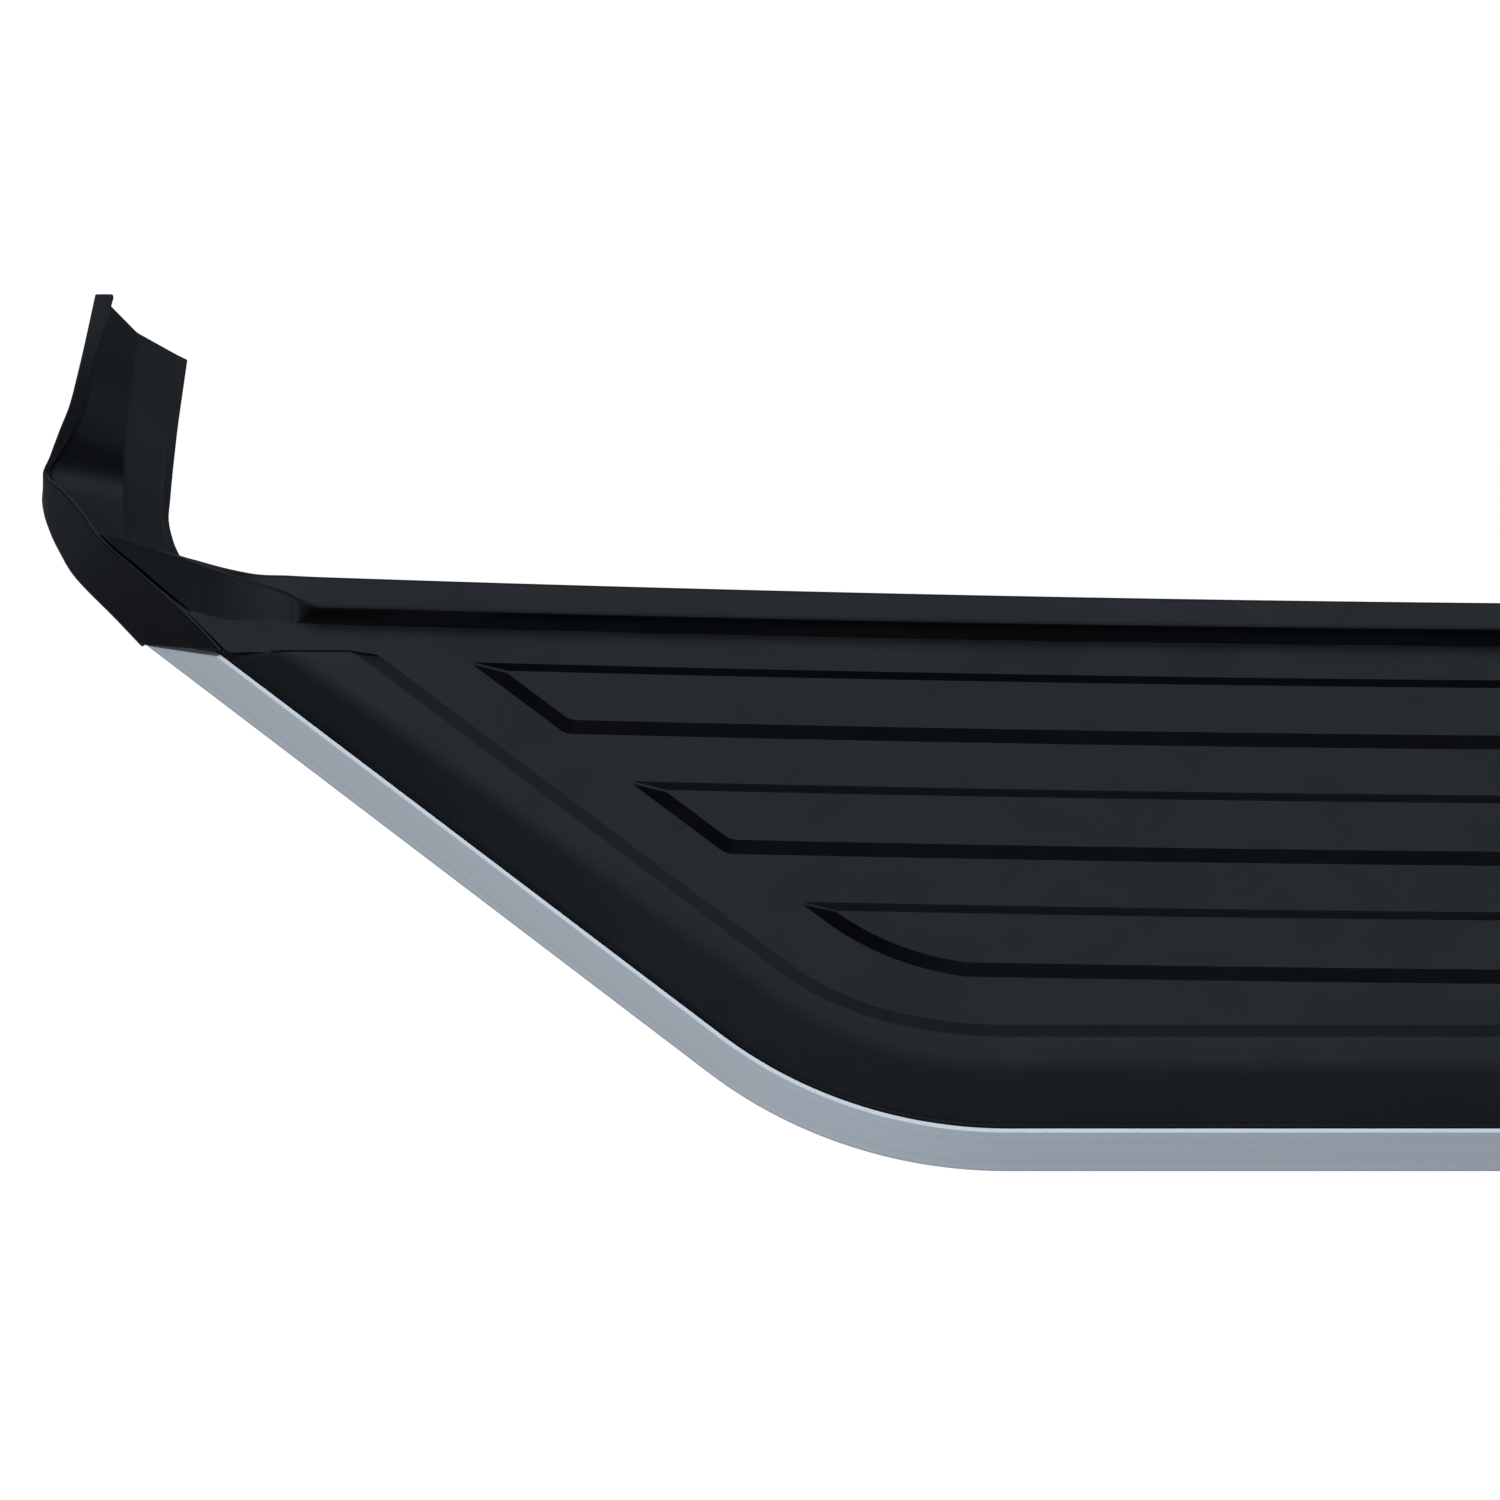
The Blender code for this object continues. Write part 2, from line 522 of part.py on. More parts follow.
LIGHT_HOLE_Y = (BETWEEN_SLOTS, 225.0)
PAD_HALF, PAD_FRONT, PAD_BACK = 23.0, 38.0, 168.0
BOLT_HEAD = (16.0, 15.0, 5.0)
BOLT_END = -47.0
WASHER_RADIUS, WASHER_SHEET = 8.5, 1.6
NUT_HEIGHT = 7.0


def upright_hole(name, x, y, radius, z=ARM_TOP - 2.0, depth=12.0):
    return cylinder(name, (x, y, z), radius, depth, helper=True)


def bracket(side, x):
    arm = outline_solid(f"bracket_{side}", [ARM_OUTLINE], BRACKET_WIDTH,
                        lambda u, v, w: (x + w, u, v), COATED)
    flanges = [outline_solid(f"bracket_{side}_flange_{n}", [FLANGE_OUTLINE], 3.0,
                             lambda u, v, w, shift=shift: (x + shift + w, u, v), helper=True)
               for n, shift in enumerate((-23.4, 23.4), 1)]
    combine(arm, "UNION", flanges)
    slot_holes = [upright_hole(f"bracket_{side}_slot_hole_{n}", x, y, BOLT_RADIUS + 0.5)
                  for n, y in enumerate(SLOT_Y, 1)]
    light_holes = [upright_hole(f"bracket_{side}_light_hole_{n}", x, y, 11.0)
                   for n, y in enumerate(LIGHT_HOLE_Y, 1)]
    tab_holes = [cylinder(f"bracket_{side}_tab_hole_{n}", (x, TAB_BACK - 3.0, z), 5.2, 14.0, "Y", helper=True)
                 for n, z in enumerate(TAB_HOLE_Z, 1)]
    combine(arm, "DIFFERENCE", slot_holes + light_holes + tab_holes)
    pad = box(f"bracket_pad_{side}", (x - PAD_HALF, PAD_FRONT, CORE_BOTTOM - GAP - PAD),
              (x + PAD_HALF, PAD_BACK, CORE_BOTTOM - GAP), RUBBER)
    combine(pad, "DIFFERENCE", slot_holes + light_holes[:1])
    pieces = [arm, pad]
    head_low = CORE_BOTTOM + SLOT_LIP + GAP
    washer_top = ARM_TOP - BRACKET_SHEET - GAP
    nut_top = washer_top - WASHER_SHEET - GAP
    for n, y in enumerate(SLOT_Y, 1):
        along, across, thick = BOLT_HEAD
        bolt = box(f"t_bolt_{side}_{n}", (x - along / 2, y - across / 2, head_low),
                   (x + along / 2, y + across / 2, head_low + thick), ZINC)
        shank_top = head_low + 2.0
        shank = cylinder(f"t_bolt_{side}_{n}_shank", (x, y, (shank_top + BOLT_END) / 2), BOLT_RADIUS,
                         shank_top - BOLT_END, helper=True)
        combine(bolt, "UNION", [shank])
        washer = cylinder(f"washer_{side}_{n}", (x, y, washer_top - WASHER_SHEET / 2), WASHER_RADIUS,
                          WASHER_SHEET, sides=24, finish=ZINC)
        nut = cylinder(f"nut_{side}_{n}", (x, y, nut_top - NUT_HEIGHT / 2), NUT_ACROSS / math.sqrt(3),
                       NUT_HEIGHT, sides=6, finish=ZINC)
        bore = upright_hole(f"washer_{side}_{n}_bore", x, y, BOLT_RADIUS + 0.3, washer_top - 6.0, 20.0)
        combine(washer, "DIFFERENCE", [bore])
        combine(nut, "DIFFERENCE", [bore])
        pieces += [bolt, washer, nut]
    # What slides together hangs on one empty, on the line midway between the two T-slots.
    axis = bpy.data.objects.new(f"slide_{side}_axis", None)
    board.objects.link(axis)
    axis.location = at(x, BETWEEN_SLOTS, CORE_BOTTOM)
    bpy.context.view_layer.update()
    for piece in pieces:
        piece.parent = axis
        piece.matrix_parent_inverse = axis.matrix_world.inverted()


for side, x in BRACKET_X.items():
    bracket(side, x)
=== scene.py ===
"""A car's running board with all its fittings, on a studio floor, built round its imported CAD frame.

Board coordinates are millimetres: x along the board, y inboard from the seam between cover and trim,
z up from the flat field of the tread. The object follows its assembly: cover, trim, end caps and their
screws, core, clips, seal, then the three slide brackets with their hardware.
"""
import math

import bmesh
import bpy
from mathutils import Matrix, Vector


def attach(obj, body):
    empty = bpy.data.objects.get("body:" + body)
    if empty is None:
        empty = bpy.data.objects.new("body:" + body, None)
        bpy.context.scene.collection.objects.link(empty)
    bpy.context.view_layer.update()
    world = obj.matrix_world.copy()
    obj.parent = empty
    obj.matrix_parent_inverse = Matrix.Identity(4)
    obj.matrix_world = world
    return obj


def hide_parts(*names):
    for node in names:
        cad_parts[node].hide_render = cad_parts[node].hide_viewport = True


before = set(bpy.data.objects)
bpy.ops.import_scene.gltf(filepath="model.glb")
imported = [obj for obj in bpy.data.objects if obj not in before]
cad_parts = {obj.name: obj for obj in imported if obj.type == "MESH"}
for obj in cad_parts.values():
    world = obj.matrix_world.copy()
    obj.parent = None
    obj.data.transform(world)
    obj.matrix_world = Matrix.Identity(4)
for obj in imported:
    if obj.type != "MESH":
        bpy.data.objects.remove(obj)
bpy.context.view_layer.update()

# --- Studio ---
# The floor that the brackets' feet stand on, the room's soft light and the camera. The light comes
# from a large soft source high on the car's side of the board, which the tread's flat faces mirror.


def wired(tree, kind, inputs=(), family="ShaderNode", **settings):
    """The outputs of a new node of this kind, with its settings made and its inputs set or linked."""
    node = tree.nodes.new(family + kind)
    for name, value in settings.items():
        setattr(node, name, value)
    for socket, value in dict(inputs).items():
        if isinstance(value, bpy.types.NodeSocket):
            tree.links.new(value, node.inputs[socket])
        else:
            node.inputs[socket].default_value = value
    return node.outputs


def meshed(tree, kind, inputs=(), **settings):
    """The outputs of a new Geometry Nodes node of this kind."""
    return wired(tree, kind, inputs, "GeometryNode", **settings)


def sums(tree, operation, first, second):
    return wired(tree, "Math", {0: first, 1: second}, operation=operation)[0]


def scaled(tree, vector, by):
    return wired(tree, "VectorMath", {0: vector, "Scale": by}, operation="SCALE")[0]


def mixed(tree, mask, first, second):
    """The first colour where the mask is 0, the second where it is 1."""
    return wired(tree, "Mix", {0: mask, 6: first, 7: second}, data_type="RGBA")[2]


def ramped(tree, value, low, high, to_low=0.0, to_high=1.0, shape="LINEAR"):
    return wired(tree, "MapRange",
                 {"Value": value, "From Min": low, "From Max": high, "To Min": to_low, "To Max": to_high},
                 interpolation_type=shape)[0]


def made(name, bm):
    """An object of this bmesh, linked into the scene."""
    mesh = bpy.data.meshes.new(name)
    bm.to_mesh(mesh)
    bm.free()
    piece = bpy.data.objects.new(name, mesh)
    bpy.context.scene.collection.objects.link(piece)
    return piece


FLOOR_HALF = 7.0
FLOOR_GLOW, GLOW_MIRRORED_BEFORE, GLOW_MIRRORED_BEHIND = 1.0, 0.08, 0.17
MIRRORED_TINT, ROOM_TINT, WHITE = (0.86, 1.0, 1.16, 1.0), (0.84, 1.0, 1.2, 1.0), (1.0, 1.0, 1.0, 1.0)
bm = bmesh.new()
bmesh.ops.create_grid(bm, x_segments=8, y_segments=8, size=FLOOR_HALF)
floor = made("studio_floor", bm)
floor.location.z = -0.0006
paper = bpy.data.materials.new("pale_paper")
paper.use_nodes = True
sheet = paper.node_tree
matt = sheet.nodes["Principled BSDF"].inputs
matt["Base Color"].default_value = (0.012, 0.012, 0.013, 1.0)
matt["Roughness"].default_value = 0.95
matt["Specular IOR Level"].default_value = 0.1
# The paper glows to the eye, and much less in what the black mouldings mirror, least of all in front.
seen = wired(sheet, "LightPath")["Is Camera Ray"]
spot = wired(sheet, "SeparateXYZ", {0: wired(sheet, "TexCoord")["Object"]})
depth = sums(sheet, "ADD", spot["Y"], sums(sheet, "MULTIPLY", spot["X"], 0.7))
mirrored = ramped(sheet, depth, -0.6, 0.3, GLOW_MIRRORED_BEFORE, GLOW_MIRRORED_BEHIND)
sheet.links.new(wired(sheet, "Mix", {0: seen, 2: mirrored, 3: FLOOR_GLOW})[0], matt["Emission Strength"])
sheet.links.new(mixed(sheet, seen, MIRRORED_TINT, WHITE), matt["Emission Color"])
floor.data.materials.append(paper)

# How bright the room is where it is reached by looking this far towards the car, from -1 to 1.
ROOM_GLOW = ((-1.0, 0.20), (-0.82, 0.80), (-0.66, 0.66), (-0.54, 0.0), (-0.22, 0.0), (-0.06, 0.33),
             (0.30, 0.41), (0.48, 0.58), (0.64, 1.2), (0.78, 0.10), (0.98, 0.09))
GLOW_ASIDE, SIDE_WINDOW_GLOW = 0.28, 0.45
room = bpy.data.worlds.new("studio_room")
room.use_nodes = True
bpy.context.scene.world = room
sky = room.node_tree
direction = wired(sky, "SeparateXYZ", {0: wired(sky, "TexCoord")["Generated"]})
towards_car = ramped(sky, direction["Y"], -1.0, 1.0)
bands = sky.nodes.new("ShaderNodeValToRGB")
sky.links.new(towards_car, bands.inputs["Fac"])
ramp = bands.color_ramp
ramp.interpolation = "B_SPLINE"
while len(ramp.elements) < len(ROOM_GLOW):
    ramp.elements.new(1.0)
for element, (place, glow) in zip(ramp.elements, ROOM_GLOW):
    element.position, element.color = (place + 1) / 2, (glow, glow, glow, 1.0)
aside = wired(sky, "Math", {0: direction["X"]}, operation="ABSOLUTE")[0]
narrow = ramped(sky, aside, 0.44, 0.6, 1.0, GLOW_ASIDE, "SMOOTHSTEP")
side_window = ramped(sky, direction["X"], 0.72, 0.9, 0.0, SIDE_WINDOW_GLOW, "SMOOTHSTEP")
narrowed = sums(sky, "MULTIPLY", bands.outputs["Color"], sums(sky, "ADD", narrow, side_window))
# The eye sees a plain white room behind the floor.
in_view = wired(sky, "LightPath")["Is Camera Ray"]
background = sky.nodes["Background"].inputs
sky.links.new(mixed(sky, in_view, ROOM_TINT, WHITE), background["Color"])
sky.links.new(wired(sky, "Mix", {0: in_view, 2: narrowed, 3: 1.0})[0], background["Strength"])

# Lamps that light the silver, nylon and zinc without showing as glints in the black mouldings.
LAMPS = (((-2.3, -2.1, 0.7), 70.0, 1.2), ((1.4, -2.6, 0.7), 20.0, 1.4), ((0.4, 2.6, 1.8), 20.0, 1.6),
         ((-0.6, 0.5, 3.0), 140.0, 1.0))
for number, (place, power, size) in enumerate(LAMPS, 1):
    lamp = bpy.data.lights.new(f"lamp_{number}", "AREA")
    lamp.shape, lamp.size, lamp.energy = "DISK", size, power
    light = bpy.data.objects.new(lamp.name, lamp)
    light.location = place
    light.rotation_euler = (-Vector(place)).to_track_quat("-Z", "Y").to_euler()
    light.visible_glossy = False
    bpy.context.scene.collection.objects.link(light)

CAMERA_ELEVATION = math.radians(62)
CAMERA_DISTANCE, CAMERA_LENS = 2.45, 169.9
CAMERA_TARGET = Vector((-0.6975, -0.00855, 0.055))
lens = bpy.data.cameras.new("studio_camera")
lens.lens, lens.sensor_width = CAMERA_LENS, 36.0
camera = bpy.data.objects.new("studio_camera", lens)
camera.location = CAMERA_TARGET + CAMERA_DISTANCE * Vector(
    (0.0, -math.cos(CAMERA_ELEVATION), math.sin(CAMERA_ELEVATION)))
camera.rotation_euler = (math.pi / 2 - CAMERA_ELEVATION, 0.0, 0.0)
bpy.context.scene.collection.objects.link(camera)
bpy.context.scene.camera = camera
bpy.context.scene.view_settings.view_transform = "Standard"

# --- Tread cover ---
# The injection-moulded top of the board: a flat field with three raised anti-slip ribs, a sloping
# border along the outer edge and round both ends, and an upstand along the car. Black plastic with
# a fine moulded grain; it snaps over the core. Its ribs' walls are left smooth by the tool, and they
# are coloured darker than the tops as painted shade.
CENTRE_Y = 149.45
STAND = 55.0
CORNER_X = 610.5
CORNER_RADIUS = 149.0
SWEEP_BACK = math.radians(40)
BOW, RAIL_BACK_BOW, BOW_START = 3.0e-5, 3.5e-5, 280.0
SKIN, ROOT = 3.0, 0.8
RIB_LOW_EDGES, RIB_WIDTH, RIB_END, NOSE_END = (49.4, 94.5, 139.7), 28.5, 50.0, 52.0
RIB_RUN, RIB_HEIGHT = 4.7, 2.3
RIB_LEVELS = ((0.68, 0.76), (0.83, 0.90), (0.95, 0.97), (1.05, 1.0))
FLAT_ENOUGH, UPRIGHT_ENOUGH = 0.93, -0.8
BORDER_HEIGHT, BORDER_WALL, BORDER_WALL_IN_FRONT, BORDER_WALL_RUN = 2.1, 32.3, 35.4, 5.8
BORDER_CREASE, BORDER_CREASE_AT_TIP = 18.9, 12.0
BORDER_END_Y = 178.0
SEAM_Z, SEAM_OVERHANG, SKIRT_Z, SKIRT_WALL = -3.4, 1.2, -14.0, 2.5
RAIL_FOOT, RAIL_CREST, RAIL_BACK, RAIL_HEIGHT, RAIL_END = 180.9, 183.8, 194.6, 8.0, 848.0


def board_point(x, y, z):
    """Board millimetres as a place in the scene, in metres."""
    return Vector((x, y - CENTRE_Y, z + STAND)) * 0.001


def from_origin(x, y, z):
    return Vector((x, y, z)) * 0.001


def bow(x, amount=BOW):
    return amount * max(0.0, abs(x) - BOW_START) ** 2


def seam_point(offset, turn, along=0.0):
    """A point of the seam's left half moved inboard by offset: round the corner, then up the sweep."""
    radius = CORNER_RADIUS - offset
    return (-CORNER_X - radius * math.sin(turn) - along * math.cos(SWEEP_BACK),
            CORNER_RADIUS - radius * math.cos(turn) + along * math.sin(SWEEP_BACK))


def along_to(offset, y):
    """How far up the sweep a path at this offset reaches y."""
    return (y - seam_point(offset, SWEEP_BACK)[1]) / math.sin(SWEEP_BACK)


def steps(first, last, count):
    return [first + (last - first) * i / count for i in range(count + 1)]


def eased(ring, reaches, cuts=3):
    """A ring with its corners rounded off over their reaches, as a tool's radius leaves them."""
    soft = []
    for i, reach in enumerate(reaches):
        corner = Vector(ring[i])
        before, after = Vector(ring[i - 1]) - corner, Vector(ring[(i + 1) % len(ring)]) - corner
        if not reach:
            soft.append(tuple(corner))
            continue
        start = corner + before.normalized() * min(reach, before.length * 0.45)
        end = corner + after.normalized() * min(reach, after.length * 0.45)
        for part in steps(0.0, 1.0, cuts):
            soft.append(tuple(start * (1 - part) ** 2 + corner * 2 * part * (1 - part) + end * part ** 2))
    return soft


def faired(rings, count):
    """Rings on a smooth curve through these rings, with count steps between each two."""
    last = len(rings) - 1
    smooth = []
    for i in range(last):
        four = [rings[min(max(k, 0), last)] for k in range(i - 1, i + 3)]
        for t in steps(0.0, 1.0, count)[:-1]:
            ring = []
            for points in zip(*four):
                a, b, c, d = map(Vector, points)
                ring.append(tuple((2 * b + (c - a) * t + (2 * a - 5 * b + 4 * c - d) * t ** 2
                                   + (3 * b - a - 3 * c + d) * t ** 3) / 2))
            smooth.append(ring)
    return smooth + [rings[last]]


def both_halves(rings):
    """Rings from the left tip to the middle, followed by their mirror images."""
    return rings + [[(-x, y, z) for x, y, z in ring] for ring in reversed(rings)]


def lofted(name, rings, place=board_point):
    """A closed body through rings of points, each ring with as many points as the next."""
    bm = bmesh.new()
    rows = [[bm.verts.new(place(*point)) for point in ring] for ring in rings]
    for low, high in zip(rows, rows[1:]):
        for i in range(len(low)):
            j = (i + 1) % len(low)
            bm.faces.new((low[i], low[j], high[j], high[i]))
    bm.faces.new(reversed(rows[0]))
    bm.faces.new(rows[-1])
    bmesh.ops.recalc_face_normals(bm, faces=bm.faces)
    return made(name, bm)


def plain_mesh(piece):
    """Makes what the piece's modifiers give its own mesh."""
    graph = bpy.context.evaluated_depsgraph_get()
    mesh = bpy.data.meshes.new_from_object(piece.evaluated_get(graph), depsgraph=graph)
    piece.modifiers.clear()
    piece.data = mesh


def carved(piece, operation, helpers):
    """Joins the helpers to the piece, or cuts them from it, and clears them away."""
    for helper in helpers:
        modifier = piece.modifiers.new(helper.name, "BOOLEAN")
        modifier.operation, modifier.object, modifier.solver = operation, helper, "MANIFOLD"
        modifier.material_mode = "TRANSFER"
    plain_mesh(piece)
    for helper in helpers:
        bpy.data.objects.remove(helper)
    bm = bmesh.new()
    bm.from_mesh(piece.data)
    bmesh.ops.remove_doubles(bm, verts=bm.verts, dist=2e-6)
    bmesh.ops.dissolve_degenerate(bm, edges=bm.edges, dist=2e-6)
    bm.to_mesh(piece.data)
    bm.free()


def group_of(name, family, inputs, outputs, gives):
    """A new node group and its inputs' and outputs' sockets. An input is a kind or a number's default."""
    tree = bpy.data.node_groups.new(name, family + "NodeTree")
    for label, given_as in inputs.items():
        kind = given_as if isinstance(given_as, str) else "Float"
        socket = tree.interface.new_socket(label, in_out="INPUT", socket_type="NodeSocket" + kind)
        if kind is not given_as:
            socket.default_value = given_as
    for label in outputs:
        tree.interface.new_socket(label, in_out="OUTPUT", socket_type="NodeSocket" + gives)
    return tree, tree.nodes.new("NodeGroupInput").outputs, tree.nodes.new("NodeGroupOutput").inputs


def grower(name, inputs):
    """A new Geometry Nodes tree with these named inputs."""
    return group_of(name, "Geometry", {"Geometry": "Geometry", **inputs}, ["Geometry"], "Geometry")


def grown(piece, tree, values):
    """Runs the tree on the piece with these inputs, and keeps the result as its mesh."""
    modifier = piece.modifiers.new(tree.name, "NODES")
    modifier.node_group = tree
    for socket in tree.interface.items_tree:
        if socket.in_out == "INPUT" and socket.name in values:
            modifier[socket.identifier] = values[socket.name]
    plain_mesh(piece)


def fitted(piece, body, nodes, angle=30, finish=None):
    """Shades a piece, gives it the finish if any, and puts it on its body in place of its CAD nodes."""
    if finish:
        piece.data.materials.clear()
        piece.data.materials.append(finish)
    piece.data.shade_smooth()
    piece.data.set_sharp_from_angle(angle=math.radians(angle))
    weighted = piece.modifiers.new("weighted_normals", "WEIGHTED_NORMAL")
    weighted.keep_sharp = True
    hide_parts(*nodes)
    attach(piece, body)


def effect(name, inputs, outputs):
    """A new shader group with these named inputs and outputs."""
    return group_of(name, "Shader", inputs, outputs, "Float")


def gives(tree, result, **values):
    """Links these values to a group's outputs."""
    for label, value in values.items():
        tree.links.new(value, result[label])


def noise(tree, place, scale, detail=2.0, **more):
    """A noise pattern's value at this place."""
    return wired(tree, "TexNoise", {"Vector": place, "Scale": scale, "Detail": detail, **more})["Fac"]


GRAIN, given, result = effect(
    "moulded_grain", {"Position": "Vector", "Grain size": 0.0006}, ["Height", "Tone", "Gloss"])
per_metre = sums(GRAIN, "DIVIDE", 1.0, given["Grain size"])
cells = wired(GRAIN, "TexVoronoi", {"Vector": given["Position"], "Scale": per_metre},
              feature="SMOOTH_F1")["Distance"]
pores = noise(GRAIN, given["Position"], sums(GRAIN, "MULTIPLY", per_metre, 0.45), 3.0)
flow = noise(GRAIN, given["Position"], 7.0, 4.0, Roughness=0.6)
haze = noise(GRAIN, given["Position"], 42.0, 5.0, Distortion=0.4)
relief = sums(GRAIN, "ADD", sums(GRAIN, "MULTIPLY", cells, 0.65), sums(GRAIN, "MULTIPLY", pores, 0.35))
gives(GRAIN, result, Height=relief, Tone=ramped(GRAIN, flow, 0.3, 0.7, 0.86, 1.14),
      Gloss=ramped(GRAIN, haze, 0.3, 0.7, -0.035, 0.035))

RUBBING, given, result = effect(
    "rubbed_edges", {"Position": "Vector", "Width": 0.0008, "Patches": 60.0}, ["Mask"])
round_normal = wired(RUBBING, "Bevel", {"Radius": given["Width"]}, samples=4)[0]
face_normal = wired(RUBBING, "NewGeometry")["Normal"]
both = {0: round_normal, 1: face_normal}
likeness = wired(RUBBING, "VectorMath", both, operation="DOT_PRODUCT")["Value"]
patches = noise(RUBBING, given["Position"], given["Patches"], 4.0)
gives(RUBBING, result, Mask=sums(RUBBING, "MULTIPLY", ramped(RUBBING, likeness, 0.995, 0.9),
                                 ramped(RUBBING, patches, 0.38, 0.66)))

DUST, given, result = effect("settled_dust", {"Position": "Vector", "Amount": 0.2}, ["Mask"])
upward = wired(DUST, "SeparateXYZ", {0: wired(DUST, "NewGeometry")["Normal"]})["Z"]
drifts = noise(DUST, given["Position"], 16.0, 7.0, Roughness=0.65)
settled = sums(DUST, "MULTIPLY", ramped(DUST, upward, 0.2, 0.95), ramped(DUST, drifts, 0.35, 0.75))
gives(DUST, result, Mask=sums(DUST, "MULTIPLY", settled, given["Amount"]))


def with_effect(tree, group, inputs):
    return wired(tree, "Group", inputs, node_tree=group)


def patterned(group, label, size):
    """A skin that lays this effect over the Object coordinates at this size."""
    return lambda tree, position: with_effect(tree, group, {"Position": position, label: size})


def new_finish(name, colour, roughness, skin, rub=None, dust=None, relief=None, dulling=0.0, constants=()):
    """A material whose skin sets its tone, gloss and relief, with rubbed edges and settled dust.

    rub is a colour, a width, patches to the metre and a share; dust is a colour and an amount, which
    dulls the gloss; relief is a strength and a depth.
    """
    finish = bpy.data.materials.new(name)
    finish.use_nodes = True
    tree = finish.node_tree
    shader = tree.nodes["Principled BSDF"].inputs
    for socket, value in {"Roughness": roughness, **dict(constants)}.items():
        shader[socket].default_value = value
    position = wired(tree, "TexCoord")["Object"]
    pattern = skin(tree, position)
    base, gloss = (*colour, 1.0), sums(tree, "ADD", pattern["Gloss"], roughness)
    if "Tone" in pattern:
        base = scaled(tree, colour, pattern["Tone"])
    if rub:
        bare, width, patches, share = rub
        wear = with_effect(tree, RUBBING, {"Position": position, "Width": width, "Patches": patches})
        base = mixed(tree, sums(tree, "MULTIPLY", wear["Mask"], share), base, (*bare, 1.0))
    if dust:
        film = with_effect(tree, DUST, {"Position": position, "Amount": dust[1]})["Mask"]
        base = mixed(tree, film, base, (*dust[0], 1.0))
        gloss = sums(tree, "ADD", gloss, sums(tree, "MULTIPLY", film, dulling))
    tree.links.new(base, shader["Base Color"])
    tree.links.new(gloss, shader["Roughness"])
    if relief:
        bump = {"Strength": relief[0], "Distance": relief[1], "Height": pattern["Height"]}
        tree.links.new(wired(tree, "Bump", bump)[0], shader["Normal"])
    return finish


def moulded_plastic(name, colour, roughness, grain, depth, dust):
    """Black moulded plastic: grained by its tool, rubbed greyer on its edges, and a little dusty."""
    return new_finish(name, colour, roughness, patterned(GRAIN, "Grain size", grain),
                      ((0.010, 0.011, 0.0125), 0.0007, 55.0, 0.7), ((0.030, 0.032, 0.034), dust),
                      (0.6, depth), 0.5)


TREAD = moulded_plastic("grained_tread_plastic", (0.0007, 0.0009, 0.0012), 0.38, 0.0007, 0.00003, 0.03)
# The wall plastic is smoother and glossier, and its darker colour is painted shade for the walls.
SHADED_WALL = moulded_plastic("smooth_wall_plastic", (0.0004, 0.0005, 0.0006), 0.20, 0.0004, 0.00001, 0.01)


def border_ring(turn, along=0.0, end_y=None, sunk=0.0):
    """A section of the border: sloping face, flat crest, inner wall, and the skirt at the seam."""
    reach = 1.0 if end_y else min(1.0, along / along_to(0.0, BORDER_END_Y))
    crease = BORDER_CREASE + (BORDER_CREASE_AT_TIP - BORDER_CREASE) * reach
    skirt = SKIRT_WALL - SEAM_OVERHANG
    front = 0.5 + 0.5 * math.cos(math.pi * turn / SWEEP_BACK)
    wall = BORDER_WALL + (BORDER_WALL_IN_FRONT - BORDER_WALL) * front
    section = ((-SEAM_OVERHANG, SEAM_Z), (crease, BORDER_HEIGHT), (wall - BORDER_WALL_RUN, BORDER_HEIGHT),
               (wall + 2.2, -ROOT), (wall + 2.2, -1.5), (15.0, -1.5), (11.6, -3.2),
               (skirt, -6.4), (skirt, SKIRT_Z), (-SEAM_OVERHANG, SKIRT_Z))
    ring = []
    for offset, z in eased(section, (1.9, 3.2, 1.0, 0, 0, 0, 0, 0, 0, 0)):
        if end_y:
            along = along_to(offset, end_y)
            z = min(z, max(z - sunk, -ROOT)) if z > -ROOT else z
        ring.append((*seam_point(offset, turn, along), z))
    return ring


# Its far ends fall to the field along a line across the board.
border_left = [border_ring(SWEEP_BACK, end_y=BORDER_END_Y + beyond, sunk=sunk)
               for beyond, sunk in ((3.2, 2.9), (0.7, 0.25), (-0.4, 0.0), (-3.0, 0.0))]
border_left += [border_ring(SWEEP_BACK, along) for along in steps(155.0, 0.0, 10)]
border_left += [border_ring(turn) for turn in steps(SWEEP_BACK, 0.0, 28)[1:]]
border = lofted("border", both_halves(border_left))


def rail_section(x, foot, crest, back, low):
    """A section of the upstand along the car, or of the wedge that it turns into at its ends."""
    under = -1.6 if low == SKIRT_Z else foot[1] - SKIN
    low = min(low, under - 0.5)
    root = ROOT if low == SKIRT_Z else 0.0
    ring = [(x, foot[0], under), (x, foot[0] - root * 0.35, foot[1] - root), (x, *crest),
            (x, back[0] - 1.2, back[1] + 0.5), (x, back[0], back[1] - 0.6), (x, back[0], low),
            (x, back[0] - 2.4, low), (x, back[0] - 2.6, under - 0.2)]
    return eased(ring, (0, 0, 1.1, 0.5, 0.5, 0.4, 0.4, 0))


def rail_at(x):
    return rail_section(x, (RAIL_FOOT + bow(x), 0.0), (RAIL_CREST + bow(x), RAIL_HEIGHT),
                        (RAIL_BACK + bow(x, RAIL_BACK_BOW), RAIL_HEIGHT - 0.6), SKIRT_Z)


